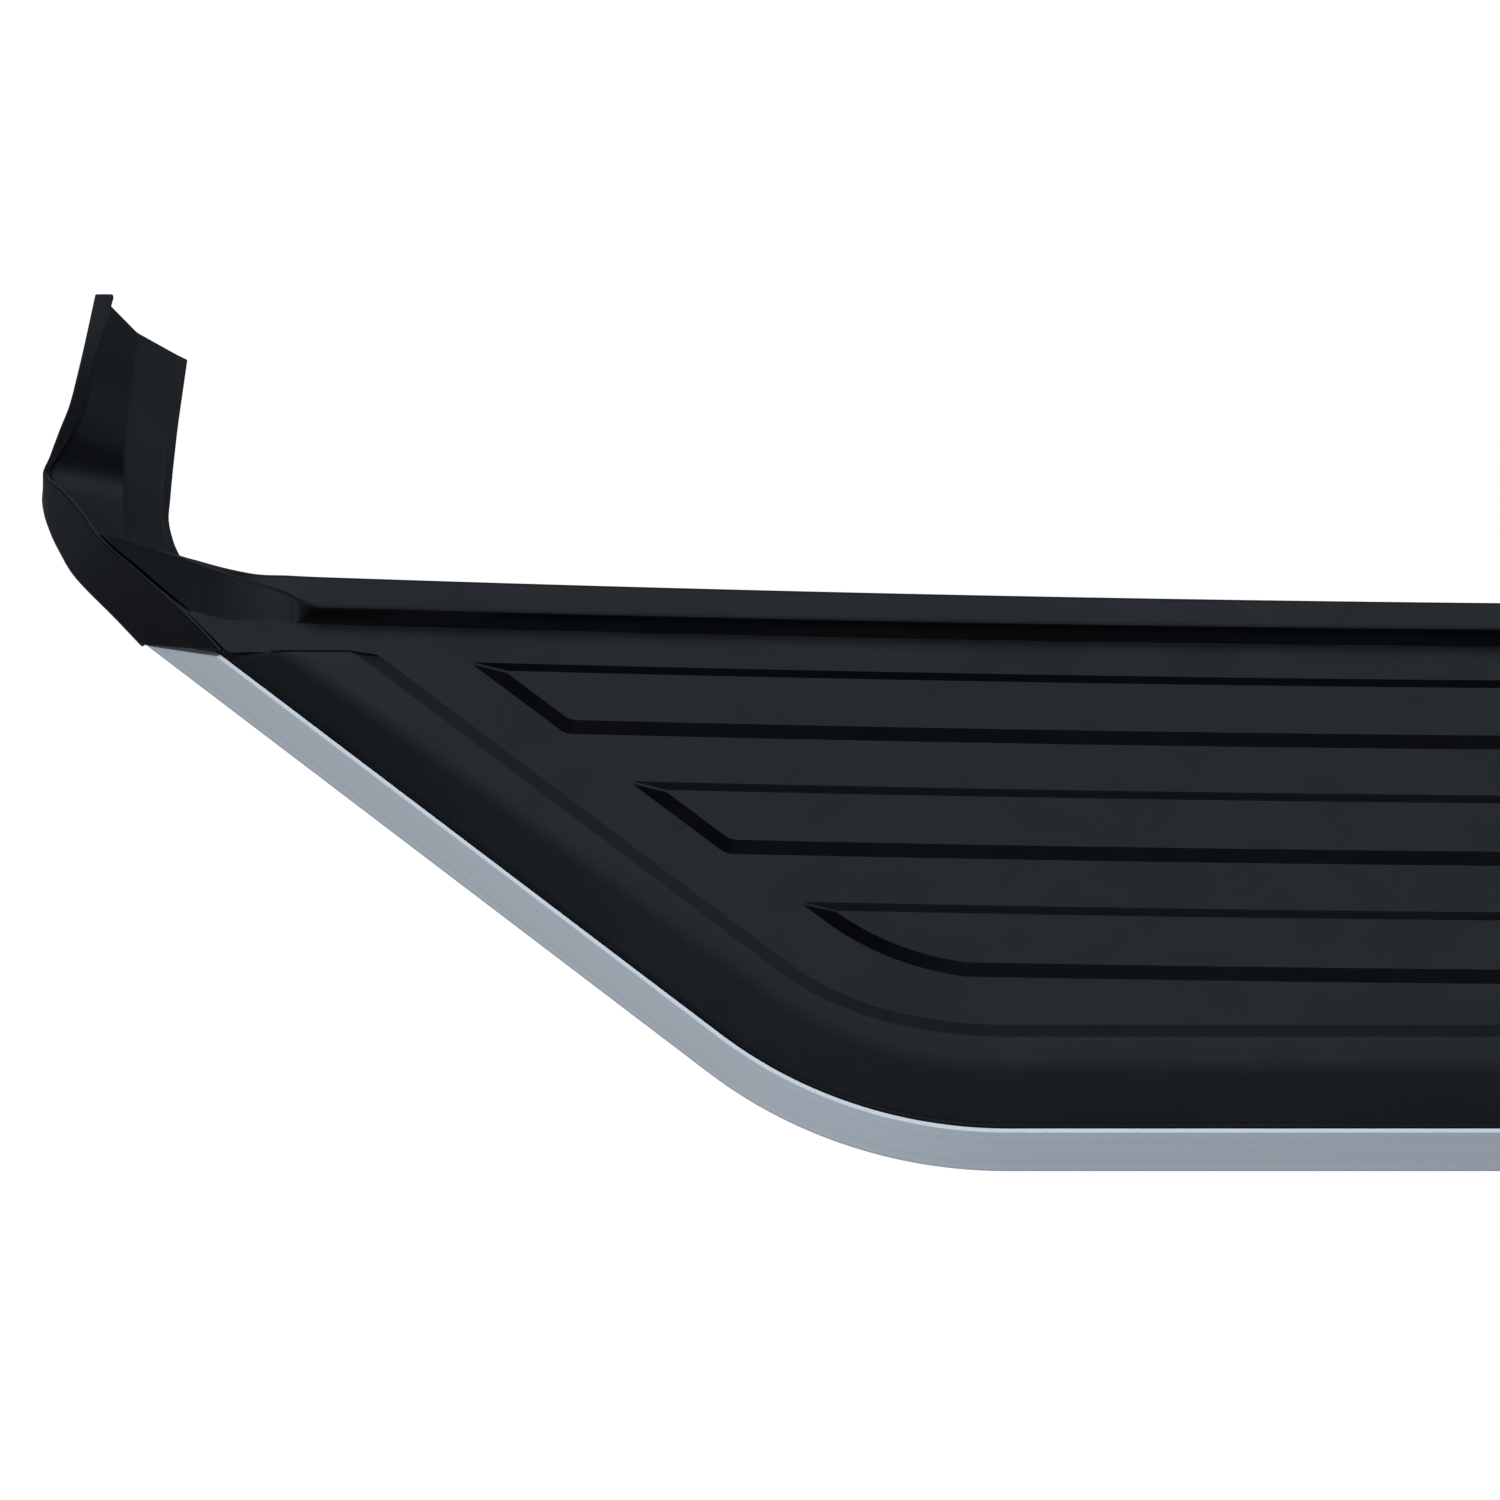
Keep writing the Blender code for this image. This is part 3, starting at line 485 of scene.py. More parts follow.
# The wedge's sections from its tip: x, foot, crest and back as (y, z), and the foot of its skirt.
WEDGE = (
    (-924.6, (220.9, 9.7), (221.9, 10.3), (223.6, 6.0), 3.0),
    (-919.0, (216.3, 7.8), (220.0, 10.1), (222.6, 5.0), 0.5),
    (-911.0, (210.2, 5.6), (217.2, 9.8), (220.4, 4.5), -2.0),
    (-903.0, (203.8, 3.2), (214.6, 9.6), (218.3, 4.5), -3.0),
    (-896.5, (198.8, 1.3), (212.3, 9.4), (215.6, 5.0), -6.0),
    (-890.0, (194.2, 0.0), (209.8, 9.2), (213.0, 6.0), SKIRT_Z),
    (-881.0, (191.6, 0.0), (206.5, 9.0), (209.7, 7.0), SKIRT_Z),
    (-870.0, (191.2, 0.0), (202.4, 8.7), (206.9, 7.6), SKIRT_Z),
    (-860.0, (191.0, 0.0), (198.7, 8.3), (206.5, 7.5), SKIRT_Z),
    (-854.0, (190.8, 0.0), (195.6, 8.1), (206.2, 7.4), SKIRT_Z),
)
rail_left = faired([rail_section(*station) for station in WEDGE] + [rail_at(-RAIL_END), rail_at(-842.0)], 4)
rail_left += [rail_at(x) for x in steps(-842.0, -BOW_START, 48)[1:]]
rail = lofted("rail", both_halves(rail_left))

plate_left = [(x, RAIL_BACK - 1.5 + bow(x)) for x in steps(-BOW_START, -RAIL_END, 30)]
plate_left += [(-868.0, 197.0), (-894.3, 195.7), (-881.5, 181.6)]
plate_left += [seam_point(offset, SWEEP_BACK, along_to(offset, BORDER_END_Y + 1.6)) for offset in (0.3, 13.0)]
plate_left += [seam_point(13.0, turn) for turn in steps(SWEEP_BACK, 0.0, 24)]
plate_outline = plate_left + [(-x, y) for x, y in reversed(plate_left)]
cover = lofted("cover_moulding", [[(x, y, z) for x, y in plate_outline] for z in (-SKIN, 0.0)])


def rib_end_point(edge, offset):
    """Where a rib's long edge meets its end line, and how far round the corner that is."""
    y = edge
    for _ in range(6):
        turn = min(SWEEP_BACK, math.acos(min(1.0, (CORNER_RADIUS - y) / (CORNER_RADIUS - offset))))
        along = max(0.0, along_to(offset, y)) if turn == SWEEP_BACK else 0.0
        x = seam_point(offset, turn, along)[0]
        y = edge + bow(x)
    return (x, y), turn


def rib_outline(low_edge, inset):
    """A rib seen from above, its four corners rounded a little."""
    low, high = low_edge + inset, low_edge + RIB_WIDTH - inset
    offset = (NOSE_END if low_edge == RIB_LOW_EDGES[0] else RIB_END) + inset
    tip, tip_turn = rib_end_point(high, offset)
    corner, turn = rib_end_point(low, offset)
    half = [(x, high + bow(x)) for x in steps(-BOW_START, tip[0], 24)]
    round_end = [len(half) - 1]
    if low_edge == RIB_LOW_EDGES[0]:
        half += [seam_point(offset, part) for part in steps(tip_turn, turn, 18)[1:-1]]
    else:
        round_end.append(len(half))
    half += [(x, low + bow(x)) for x in steps(corner[0], -BOW_START, 24)]
    reaches = [2.4 if i in round_end else 0 for i in range(len(half))]
    half = eased([*half, (0.0, low)], [*reaches, 0], 4)[:-1]
    return half + [(-x, y) for x, y in reversed(half)]


# A rib is grown from its outline: pushed down to its root in the skin, then raised in levels that
# draw inwards up the sloping wall and round over its top edge.
grow, given, result = grower("raised_rib", {
    "Wall run": 0.0047, "Height": 0.0023, "Root": 0.0008,
    "Top finish": "Material", "Wall finish": "Material"})
inward = meshed(grow, "InputNamedAttribute", {"Name": "inward"}, data_type="FLOAT_VECTOR")[0]
root_share = sums(grow, "DIVIDE", given["Root"], given["Height"])


def raised(geometry, run_share, rise_share, selection=True):
    """Moves points inwards and up by these shares of the wall's run and height."""
    run = sums(grow, "MULTIPLY", given["Wall run"], run_share)
    rise = sums(grow, "MULTIPLY", given["Height"], rise_share)
    lift = wired(grow, "CombineXYZ", {"Z": rise})[0]
    offset = wired(grow, "VectorMath", {0: scaled(grow, inward, run), 1: lift})[0]
    return meshed(grow, "SetPosition", {"Geometry": geometry, "Offset": offset, "Selection": selection})[0]


sunk_share = sums(grow, "MULTIPLY", root_share, -1.0)
rooted = raised(given["Geometry"], sunk_share, sunk_share)
level, below = rooted, (0.0, 0.0)
for run_share, rise_share in RIB_LEVELS:
    extruded = meshed(grow, "ExtrudeMesh", {"Mesh": level, "Offset Scale": 0.0, "Individual": False})
    parts = (run_share - below[0], rise_share - below[1])
    if level is rooted:
        parts = [sums(grow, "ADD", root_share, part) for part in parts]
    level, below = raised(extruded["Mesh"], *parts, extruded["Top"]), (run_share, rise_share)
underside = meshed(grow, "FlipFaces", {"Mesh": rooted})[0]
closed = grow.nodes.new("GeometryNodeJoinGeometry")
for part in (level, underside):
    grow.links.new(part, closed.inputs[0])
merged = meshed(grow, "MergeByDistance", {"Geometry": closed.outputs[0], "Distance": 1e-6})
realised = meshed(grow, "RealizeInstances", {"Geometry": merged[0]})[0]
# Faces that are not flat take the wall finish, which is darker as painted shade; flat tops take the tread's
# finish.
facing = wired(grow, "SeparateXYZ", {0: meshed(grow, "InputNormal")[0]})["Z"]
flat = sums(grow, "GREATER_THAN", facing, FLAT_ENOUGH)
walled = meshed(grow, "SetMaterial", {"Geometry": realised, "Material": given["Wall finish"]})
topped = meshed(grow, "SetMaterial", {
    "Geometry": walled[0], "Selection": flat, "Material": given["Top finish"]})
grow.links.new(topped[0], result["Geometry"])

ribs = []
for number, low_edge in enumerate(RIB_LOW_EDGES, 1):
    foot, top_edge = rib_outline(low_edge, 0.0), rib_outline(low_edge, RIB_RUN)
    bm = bmesh.new()
    bm.faces.new([bm.verts.new(board_point(x, y, 0.0)) for x, y in reversed(foot)])
    rib = made(f"rib_{number}", bm)
    if rib.data.polygons[0].normal.z <= 0:
        rib.data.flip_normals()
    slide_in = rib.data.attributes.new("inward", "FLOAT_VECTOR", "POINT")
    for item, (x, y), (u, v) in zip(slide_in.data, reversed(foot), reversed(top_edge)):
        item.vector = ((u - x) / RIB_RUN, (v - y) / RIB_RUN, 0.0)
    grown(rib, grow, {"Wall run": RIB_RUN * 0.001, "Height": RIB_HEIGHT * 0.001, "Root": ROOT * 0.001,
                          "Top finish": TREAD, "Wall finish": SHADED_WALL})
    ribs.append(rib)

# The walls of border and upstand take the smooth finish and its painted shade too, but not the
# border's sloping face.
for piece, is_wall in (
        (border, lambda centre, normal: normal.z < FLAT_ENOUGH and centre.z > (STAND - 1.0) * 0.001 and
         normal.x * -centre.x + normal.y * ((CORNER_RADIUS - CENTRE_Y) * 0.001 - centre.y) > 0.0),
        (rail, lambda centre, normal: normal.y < UPRIGHT_ENOUGH)):
    for finish in (TREAD, SHADED_WALL):
        piece.data.materials.append(finish)
    for face in piece.data.polygons:
        face.material_index = int(is_wall(face.center, face.normal))
cover.data.materials.append(TREAD)
carved(cover, "UNION", [rail, border, *ribs])
fitted(cover, "board", ["tread_cover"], 13)

# --- Trim strip ---
# A roll-formed aluminium moulding in satin silver lacquer, that follows the cover's outer edge from
# one end cap to the other. Its C-section hooks under the seam and clips on to the core.
TRIM_SECTION = ((1.7, -3.5), (3.1, -3.5), (8.5, -22.6), (8.2, -24.0), (6.6, -24.8), (-9.0, -24.8),
                (-9.0, -23.2), (5.6, -23.2), (6.4, -22.0), (1.7, -5.4))
TRIM_BOTTOM = -24.0
TRIM_END_TOP, TRIM_END_LOW = 228.6, 260.6

sweep, given, result = grower("section_along_path", {
    "Section": "Object", "Slant": 0.0, "Slant top": 0.0, "Slant depth": 0.02, "Finish": "Material"})
path = meshed(sweep, "MeshToCurve", {"Mesh": given["Geometry"]})[0]
path = meshed(sweep, "SetCurveNormal", {"Curve": path}, mode="Z_UP")[0]
run = meshed(sweep, "SplineParameter")["Length"]
path = meshed(sweep, "StoreNamedAttribute", {"Geometry": path, "Name": "along_strip", "Value": run})[0]
ends = meshed(sweep, "CurveEndpointSelection")
start_only = meshed(sweep, "CurveEndpointSelection", {"End Size": 0})[0]
heading = meshed(sweep, "InputTangent")[0]
sign = ramped(sweep, start_only, 0.0, 1.0, 1.0, -1.0)
outward = scaled(sweep, heading, sign)
at_end = scaled(sweep, outward, ends[0])
path = meshed(sweep, "StoreNamedAttribute", {
    "Geometry": path, "Name": "end_heading", "Value": at_end}, data_type="FLOAT_VECTOR")[0]
section = meshed(sweep, "ObjectInfo", {"Object": given["Section"]})["Geometry"]
section = meshed(sweep, "MeshToCurve", {"Mesh": section})[0]
girth = meshed(sweep, "SplineParameter")["Length"]
section = meshed(sweep, "StoreNamedAttribute", {
    "Geometry": section, "Name": "round_strip", "Value": girth})[0]
swept = meshed(sweep, "CurveToMesh", {"Curve": path, "Profile Curve": section, "Fill Caps": True})[0]
height = wired(sweep, "SeparateXYZ", {0: meshed(sweep, "InputPosition")[0]})["Z"]
fallen = sums(sweep, "DIVIDE", sums(sweep, "SUBTRACT", given["Slant top"], height), given["Slant depth"])
share = wired(sweep, "Clamp", {"Value": fallen})[0]
end_heading = meshed(sweep, "InputNamedAttribute", {"Name": "end_heading"}, data_type="FLOAT_VECTOR")[0]
slid = scaled(sweep, end_heading, sums(sweep, "MULTIPLY", share, given["Slant"]))
swept = meshed(sweep, "SetPosition", {"Geometry": swept, "Offset": slid})[0]
swept = meshed(sweep, "RealizeInstances", {"Geometry": swept})[0]
swept = meshed(sweep, "SetMaterial", {"Geometry": swept, "Material": given["Finish"]})
sweep.links.new(swept[0], result["Geometry"])


def polyline(name, points, closed, place=board_point):
    """A chain of edges through these points."""
    bm = bmesh.new()
    chain = [bm.verts.new(place(*point)) for point in points]
    for a, b in zip(chain, chain[1:] + chain[:1] if closed else chain[1:]):
        bm.edges.new((a, b))
    return made(name, bm)


def swept_along(name, path_points, section, finish, slant=0.0, slant_top=0.0, slant_depth=20.0):
    """Sweeps a section, as (outboard, z) points, along a path that runs from left to right."""
    piece = polyline(name, path_points, False)
    flat = [(outboard, -z, 0.0) for outboard, z in section]
    drawn = polyline(name + "_section", flat, True, from_origin)
    grown(piece, sweep, {
        "Section": drawn, "Slant": slant * 0.001, "Slant top": (slant_top + STAND) * 0.001,
        "Slant depth": slant_depth * 0.001, "Finish": finish})
    bpy.data.objects.remove(drawn)
    return piece


STREAKS, given, result = effect(
    "drawn_streaks", {"Along": 0.0, "Across": 0.0, "Fineness": 3000.0, "Length": 6.0},
    ["Height", "Tone", "Gloss"])
lie = wired(STREAKS, "CombineXYZ", {
    "X": sums(STREAKS, "MULTIPLY", given["Along"], given["Length"]),
    "Y": sums(STREAKS, "MULTIPLY", given["Across"], given["Fineness"])})[0]
lines = noise(STREAKS, lie, 1.0, 5.0, Roughness=0.7)
broad = noise(STREAKS, lie, 0.13)
gives(STREAKS, result, Height=lines, Tone=ramped(STREAKS, broad, 0.3, 0.7, 0.93, 1.05),
      Gloss=ramped(STREAKS, lines, 0.3, 0.7, -0.04, 0.05))


def drawn_metal(name, colour, roughness, along, across, fineness, depth, dust, constants):
    """Aluminium formed or extruded lengthways, with the fine streaks that leaves under its finish."""
    def streaked(tree, position):
        axes = wired(tree, "SeparateXYZ", {0: position})
        reads = {"X": axes["X"], "YZ": sums(tree, "ADD", axes["Y"], axes["Z"])}
        lie = [reads[way] if way in reads else wired(tree, "Attribute", attribute_name=way)["Fac"]
               for way in (along, across)]
        return with_effect(tree, STREAKS, {"Along": lie[0], "Across": lie[1], "Fineness": fineness})

    bright = [min(1.0, channel * 1.5) for channel in colour]
    return new_finish(name, colour, roughness, streaked, (bright, 0.0005, 90.0, 0.5),
                      ((0.20, 0.20, 0.20), dust), (0.4, depth), constants=constants)


SILVER = drawn_metal("silver_lacquer", (0.385, 0.425, 0.465), 0.40, "along_strip", "round_strip", 2500.0,
                     0.00001, 0.06, {"Metallic": 0.35, "Coat Weight": 0.25, "Coat Roughness": 0.25})
trim_path = [seam_point(0.0, SWEEP_BACK, along) for along in steps(TRIM_END_TOP, 0.0, 12)]
trim_path += [seam_point(0.0, turn) for turn in steps(SWEEP_BACK, 0.0, 48)[1:]]
trim_path += [(-x, y) for x, y in reversed(trim_path)]
trim = swept_along("trim_moulding", [(x, y, 0.0) for x, y in trim_path],
                   eased(TRIM_SECTION, (0.2, 0.6, 0.7, 0.5, 0.7, 0.3, 0.3, 0.3, 0.5, 0.3)), SILVER,
                   TRIM_END_LOW - TRIM_END_TOP, SEAM_Z, SEAM_Z - TRIM_BOTTOM)
fitted(trim, "board", ["trim_strip"], 24)

# --- End caps ---
# One moulding at each end in smooth satin black plastic: a band that carries the trim's line round the
# corner, an ear that turns up towards the car with a folded inner wall, and a floor screwed to the core.
CAP = moulded_plastic("satin_cap_plastic", (0.0009, 0.0011, 0.0014), 0.34, 0.0005, 0.00002, 0.04)
# Stations round the corner: outer foot, outer top edge, inner top edge of the lip.
CAP_STATIONS = (
    ((-913.4, 196.3, -24.0), (-882.8, 180.2, 0.2), (-881.9, 181.0, 0.2)),
    ((-923.0, 207.3, -24.0), (-895.4, 194.2, 1.2), (-894.5, 195.0, 1.2)),
    ((-933.4, 218.6, -24.0), (-912.0, 208.4, 5.0), (-911.1, 209.3, 5.0)),
    ((-938.6, 225.1, -24.0), (-925.2, 219.2, 9.5), (-924.3, 220.1, 9.5)),
    ((-942.5, 232.1, -24.0), (-932.6, 229.8, 10.5), (-931.5, 230.6, 10.5)),
    ((-946.4, 240.3, -24.0), (-939.8, 238.4, 10.8), (-938.5, 239.2, 10.8)),
    ((-949.3, 249.3, -24.0), (-946.0, 244.2, 11.5), (-943.9, 245.2, 11.2)),
    ((-950.0, 257.5, -24.0), (-943.6, 251.0, 14.0), (-940.2, 251.8, 13.8)),
    ((-946.6, 266.0, -23.0), (-940.2, 259.9, 17.5), (-934.9, 261.1, 17.5)),
    ((-941.4, 275.0, -21.0), (-937.1, 267.6, 20.5), (-931.3, 268.9, 20.5)),
    ((-936.4, 285.0, -19.0), (-934.6, 277.5, 24.0), (-929.4, 278.6, 24.0)),
    ((-933.0, 296.0, -17.0), (-932.2, 289.0, 27.0), (-926.8, 289.8, 27.0)),
    ((-930.6, 307.4, -15.0), (-929.0, 307.4, 30.0), (-922.6, 307.4, 30.0)),
)
CAP_WALL = 2.8
FLOORED_STATIONS = 7


def cap_section(foot, top, lip, inward, floored):
    """A section of the cap's outer wall, with a lip on top and a turned-in foot over the floor."""
    u, v = inward
    down = -28.6 if floored else foot[2] - 1.6
    under = max(1.2, min(3.0, math.dist(top, lip) * 0.7))

    def moved(point, distance, z):
        return point[0] + u * distance, point[1] + v * distance, z

    ring = [foot, top, lip, (lip[0], lip[1], lip[2] - under),
            moved(top, CAP_WALL * 0.6, top[2] - under - 1.4), moved(foot, CAP_WALL, foot[2] + 2.0),
            moved(foot, CAP_WALL + 1.6, down), moved(foot, 1.6, down)]
    return eased(ring, (2.0, 1.0, 1.0, 0.4, 0.8, 0.8, 0.6, 0.8))


cap_rings = []
for i, (foot, top, lip) in enumerate(CAP_STATIONS):
    before, after = CAP_STATIONS[max(0, i - 1)][0], CAP_STATIONS[min(len(CAP_STATIONS) - 1, i + 1)][0]
    heading = Vector((after[0] - before[0], after[1] - before[1])).normalized()
    cap_rings.append(cap_section(foot, top, lip, (heading.y, -heading.x), i < FLOORED_STATIONS))
cap_rings = faired(cap_rings, 6)

# The ear's inner wall: y, top left, upper crease, lower crease and free edge as (x, z).
EAR_STATIONS = (
    (225.2, (-929.0, 5.5), (-916.6, -5.5), (-903.1, -12.0), (-898.2, -15.0)),
    (232.0, (-933.6, 6.5), (-917.5, -4.5), (-904.3, -12.0), (-901.2, -15.0)),
    (241.0, (-941.4, 8.5), (-918.0, -3.0), (-905.3, -11.5), (-903.4, -15.0)),
    (250.0, (-944.2, 11.5), (-918.3, -2.0), (-905.7, -11.0), (-903.2, -15.0)),
    (260.0, (-937.6, 16.5), (-918.4, -1.0), (-905.8, -11.0), (-902.8, -15.0)),
    (269.0, (-934.2, 19.5), (-918.0, 0.5), (-905.7, -11.0), (-902.3, -15.0)),
    (279.0, (-931.6, 22.5), (-917.4, 1.5), (-905.2, -11.0), (-901.7, -15.0)),
    (290.0, (-929.0, 25.5), (-916.8, 2.8), (-904.4, -11.0), (-900.8, -15.0)),
    (307.4, (-925.2, 28.0), (-916.1, 4.0), (-903.2, -11.0), (-899.3, -15.0)),
)
EAR_SHEET = 2.5


def ear_section(y, top, upper, lower, edge):
    """A section of the ear's inner wall, folded at its two creases."""
    ring = [(top[0], y, top[1]), (top[0] + 0.4, y, top[1] - (4.0 if top[1] > 9.0 else 0.8)),
            (upper[0], y, upper[1]), (lower[0], y, lower[1]), (edge[0], y, edge[1]),
            (edge[0] - 1.2, y, edge[1] - EAR_SHEET), (lower[0] - 1.6, y, lower[1] - EAR_SHEET - 0.4),
            (upper[0] - 2.0, y, upper[1] - EAR_SHEET), (top[0] - 1.6, y, top[1] - EAR_SHEET - 2.6)]
    return eased(ring, (0, 0.4, 1.2, 1.2, 0.7, 0.7, 1.0, 1.0, 0))


ear_rings = faired([ear_section(*station) for station in EAR_STATIONS], 5)
FLOOR_OUTLINE = ((-695.0, 62.0), (-742.0, 82.0), (-893.0, 205.0), (-896.0, 226.0), (-915.0, 236.0),
                 (-920.0, 250.0), (-947.0, 250.0), (-943.6, 240.5), (-940.0, 232.8), (-936.2, 226.4),
                 (-931.0, 219.8), (-921.0, 208.8), (-911.8, 198.6), (-904.0, 198.0), (-858.0, 166.0),
                 (-722.0, 62.0))
FLOOR_TOP, FLOOR_BOTTOM = -26.3, -29.3
SCREW_PLACES = ((-722.0, 84.0), (-771.0, 126.0), (-822.0, 169.0))


def circle(centre, radius, level, sides=48, axis="Z"):
    """A ring of points round a centre, at a level along its axis."""
    angles = [2 * math.pi * i / sides for i in range(sides)]
    ring = [(centre[0] + radius * math.cos(a), centre[1] + radius * math.sin(a)) for a in angles]
    return [(x, y, level) if axis == "Z" else (x, level, y) for x, y in ring]


for side, sign in (("left", 1), ("right", -1)):
    def on_side(ring):
        return [(sign * x, y, z) for x, y, z in ring]

    cap = lofted(f"cap_moulding_{side}", [on_side(ring) for ring in cap_rings])
    ear = lofted("ear", [on_side(ring) for ring in ear_rings])
    cap_floor = lofted("cap_floor", [on_side([(x, y, z) for x, y in FLOOR_OUTLINE])
                                     for z in (FLOOR_BOTTOM, FLOOR_TOP)])
    carved(cap, "UNION", [ear, cap_floor])
    holes = [lofted(f"screw_hole_{i}", [circle((sign * x, y), 2.9, z, 32) for z in (-33.0, -23.0)])
             for i, (x, y) in enumerate(SCREW_PLACES)]
    carved(cap, "DIFFERENCE", holes)
    fitted(cap, "board", [f"end_cap_{side}"], 26, CAP)

# --- End cap screws ---
# Six zinc-plated pan-head screws with a hexagon recess, driven up through the caps' floors into
# the core. All are alike, so one screw is made and set on its places.
setting, given, result = grower("pieces_on_points", {"Piece": "Object", "Size": 1.0, "Finish": "Material"})
turn = meshed(setting, "InputNamedAttribute", {"Name": "turn"}, data_type="FLOAT")[0]
piece_shape = meshed(setting, "ObjectInfo", {"Object": given["Piece"]})["Geometry"]
placed = meshed(setting, "InstanceOnPoints", {
    "Points": given["Geometry"], "Instance": piece_shape, "Scale": given["Size"],
    "Rotation": wired(setting, "CombineXYZ", {"Z": turn})[0]})[0]
placed = meshed(setting, "RealizeInstances", {"Geometry": placed})[0]
placed = meshed(setting, "SetMaterial", {"Geometry": placed, "Material": given["Finish"]})
setting.links.new(placed[0], result["Geometry"])


def set_on_places(name, pattern, places, finish):
    """One mesh of the pattern at each place, which is a board point and a turn; the pattern goes."""
    bm = bmesh.new()
    for point, _ in places:
        bm.verts.new(board_point(*point))
    piece = made(name, bm)
    turns = piece.data.attributes.new("turn", "FLOAT", "POINT")
    for item, (_, angle) in zip(turns.data, places):
        item.value = angle
    grown(piece, setting, {"Piece": pattern, "Size": 1.0, "Finish": finish})
    bpy.data.objects.remove(pattern)
    return piece


def turned(name, profile, sides=48):
    """A body turned about the origin's upright axis, through (radius, height) pairs."""
    return lofted(name, [circle((0, 0), radius, z, sides) for radius, z in profile], from_origin)


def threaded(radius, low, high, pitch=1.25, depth=0.45):
    """A threaded shank's (radius, height) pairs: crests and roots by turns."""
    count = int((high - low) / (pitch / 2))
    return [(radius - (depth if i % 2 else 0.0), low + (high - low) * i / count) for i in range(count + 1)]


SPANGLE, given, result = effect(
    "plated_spangle", {"Position": "Vector", "Patch size": 0.002}, ["Tone", "Gloss"])
patch = wired(SPANGLE, "TexVoronoi", {
    "Vector": given["Position"], "Scale": sums(SPANGLE, "DIVIDE", 1.0, given["Patch size"])})
patch_value = wired(SPANGLE, "SeparateXYZ", {0: patch["Color"]})["X"]
gives(SPANGLE, result, Tone=ramped(SPANGLE, patch_value, 0.0, 1.0, 0.86, 1.08),
      Gloss=ramped(SPANGLE, patch_value, 0.0, 1.0, -0.06, 0.08))

ZINC = new_finish("bright_zinc", (0.60, 0.60, 0.57), 0.34, patterned(SPANGLE, "Patch size", 0.0018),
                  ((0.82, 0.82, 0.80), 0.0003, 300.0, 0.6), constants={"Metallic": 1.0})

head_low = FLOOR_BOTTOM - 0.3 - 3.2
HEAD_PROFILE = ((3.9, 0.0), (4.6, 0.35), (4.95, 1.1), (5.0, 2.0), (5.0, 3.0), (4.8, 3.2), (2.4, 3.2))
SCREW_THREAD = tuple((2.4 - (0.35 if i % 2 else 0.0), 3.7 + 0.5 * i) for i in range(16))
screw = turned("screw_pattern", HEAD_PROFILE + SCREW_THREAD)
carved(screw, "DIFFERENCE", [turned("recess", ((2.3, -1.0), (2.3, 1.7)), 6)])
screw_places = [((sign * x, y, head_low), 0.6 * i)
                for sign in (1, -1) for i, (x, y) in enumerate(SCREW_PLACES)]
cap_screws = set_on_places("end_cap_screws", screw, screw_places, ZINC)
fitted(cap_screws, "board",
       [f"end_cap_{side}_screw_{i}" for side in ("left", "right") for i in (1, 2, 3)])

# --- Core extrusion ---
# The aluminium extrusion that carries the load: chambered, with two T-slots underneath, sawn to the
# board's plan. Its CAD body already has every edge, so it keeps that body and takes its mill finish.
MILL = drawn_metal("mill_aluminium", (0.60, 0.61, 0.62), 0.38, "X", "YZ", 1800.0, 0.00002, 0.12,
                   {"Metallic": 1.0})
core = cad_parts["core_extrusion"]
core.data.materials.clear()
core.data.materials.append(MILL)

# --- Trim clips ---
# Six natural nylon blocks between the core's front and the inside of the trim, which snaps over them.
CLIP_OUTLINE = ((-13.2, -14.6), (3.4, -14.6), (5.2, -22.8), (-13.2, -22.8))
CLIP_LENGTH, CLIP_ON_SWEEP = 26.0, 120.0
CLIP_PLACES = (-500.0, -180.0, 180.0, 500.0)
NYLON = new_finish("natural_nylon", (0.63, 0.62, 0.56), 0.45, patterned(GRAIN, "Grain size", 0.0008),
                   relief=(0.5, 0.00003), constants={"Subsurface Weight": 0.1, "Subsurface Scale": 0.002})
clip_rings = [[(level, -outboard, z) for outboard, z in eased(CLIP_OUTLINE, (0.8,) * 4)]
              for level in (-CLIP_LENGTH / 2, CLIP_LENGTH / 2)]
clip = lofted("clip_pattern", clip_rings, from_origin)
relief = lofted("relief", [[(x, y, z) for x, y in ((-8.0, -1.5), (8.0, -1.5), (8.0, 8.5), (-8.0, 8.5))]
                           for z in (-16.4, -13.0)], from_origin)
carved(clip, "DIFFERENCE", [relief])
clip_places = [((x, 0.0, 0.0), 0.0) for x in CLIP_PLACES]
for sign in (1, -1):
    x, y = seam_point(0.0, SWEEP_BACK, CLIP_ON_SWEEP)
    clip_places.append(((sign * x, y, 0.0), -sign * SWEEP_BACK))
clips = set_on_places("trim_clips", clip, clip_places, NYLON)
fitted(clips, "board", [f"trim_clip_{n}" for n in (1, 2, 3, 4, "left_end", "right_end")])

# --- Rocker seal ---
# A soft black rubber strip stuck along the back of the upstand; its lip closes the gap to the sill.
RUBBER = new_finish("black_rubber", (0.010, 0.010, 0.011), 0.72, patterned(GRAIN, "Grain size", 0.0012),
                    dust=((0.05, 0.05, 0.048), 0.25), relief=(0.5, 0.00005))
SEAL_SECTION = ((0.0, -11.0), (2.2, -11.0), (3.6, -8.0), (3.4, -2.0), (1.8, 0.4), (0.0, 0.4))
seal_path = [(x, RAIL_BACK + bow(x, RAIL_BACK_BOW) + 0.3, 0.0) for x in steps(-RAIL_END, -BOW_START, 40)]
seal_path += [(-x, y, z) for x, y, z in reversed(seal_path)]
seal_section = [(-inboard, z) for inboard, z in reversed(SEAL_SECTION)]
seal = swept_along("sill_seal", seal_path, eased(seal_section, (0.3, 0.6, 1.2, 1.0, 0.8, 0.3)), RUBBER)
fitted(seal, "board", ["rocker_seal"], 40)

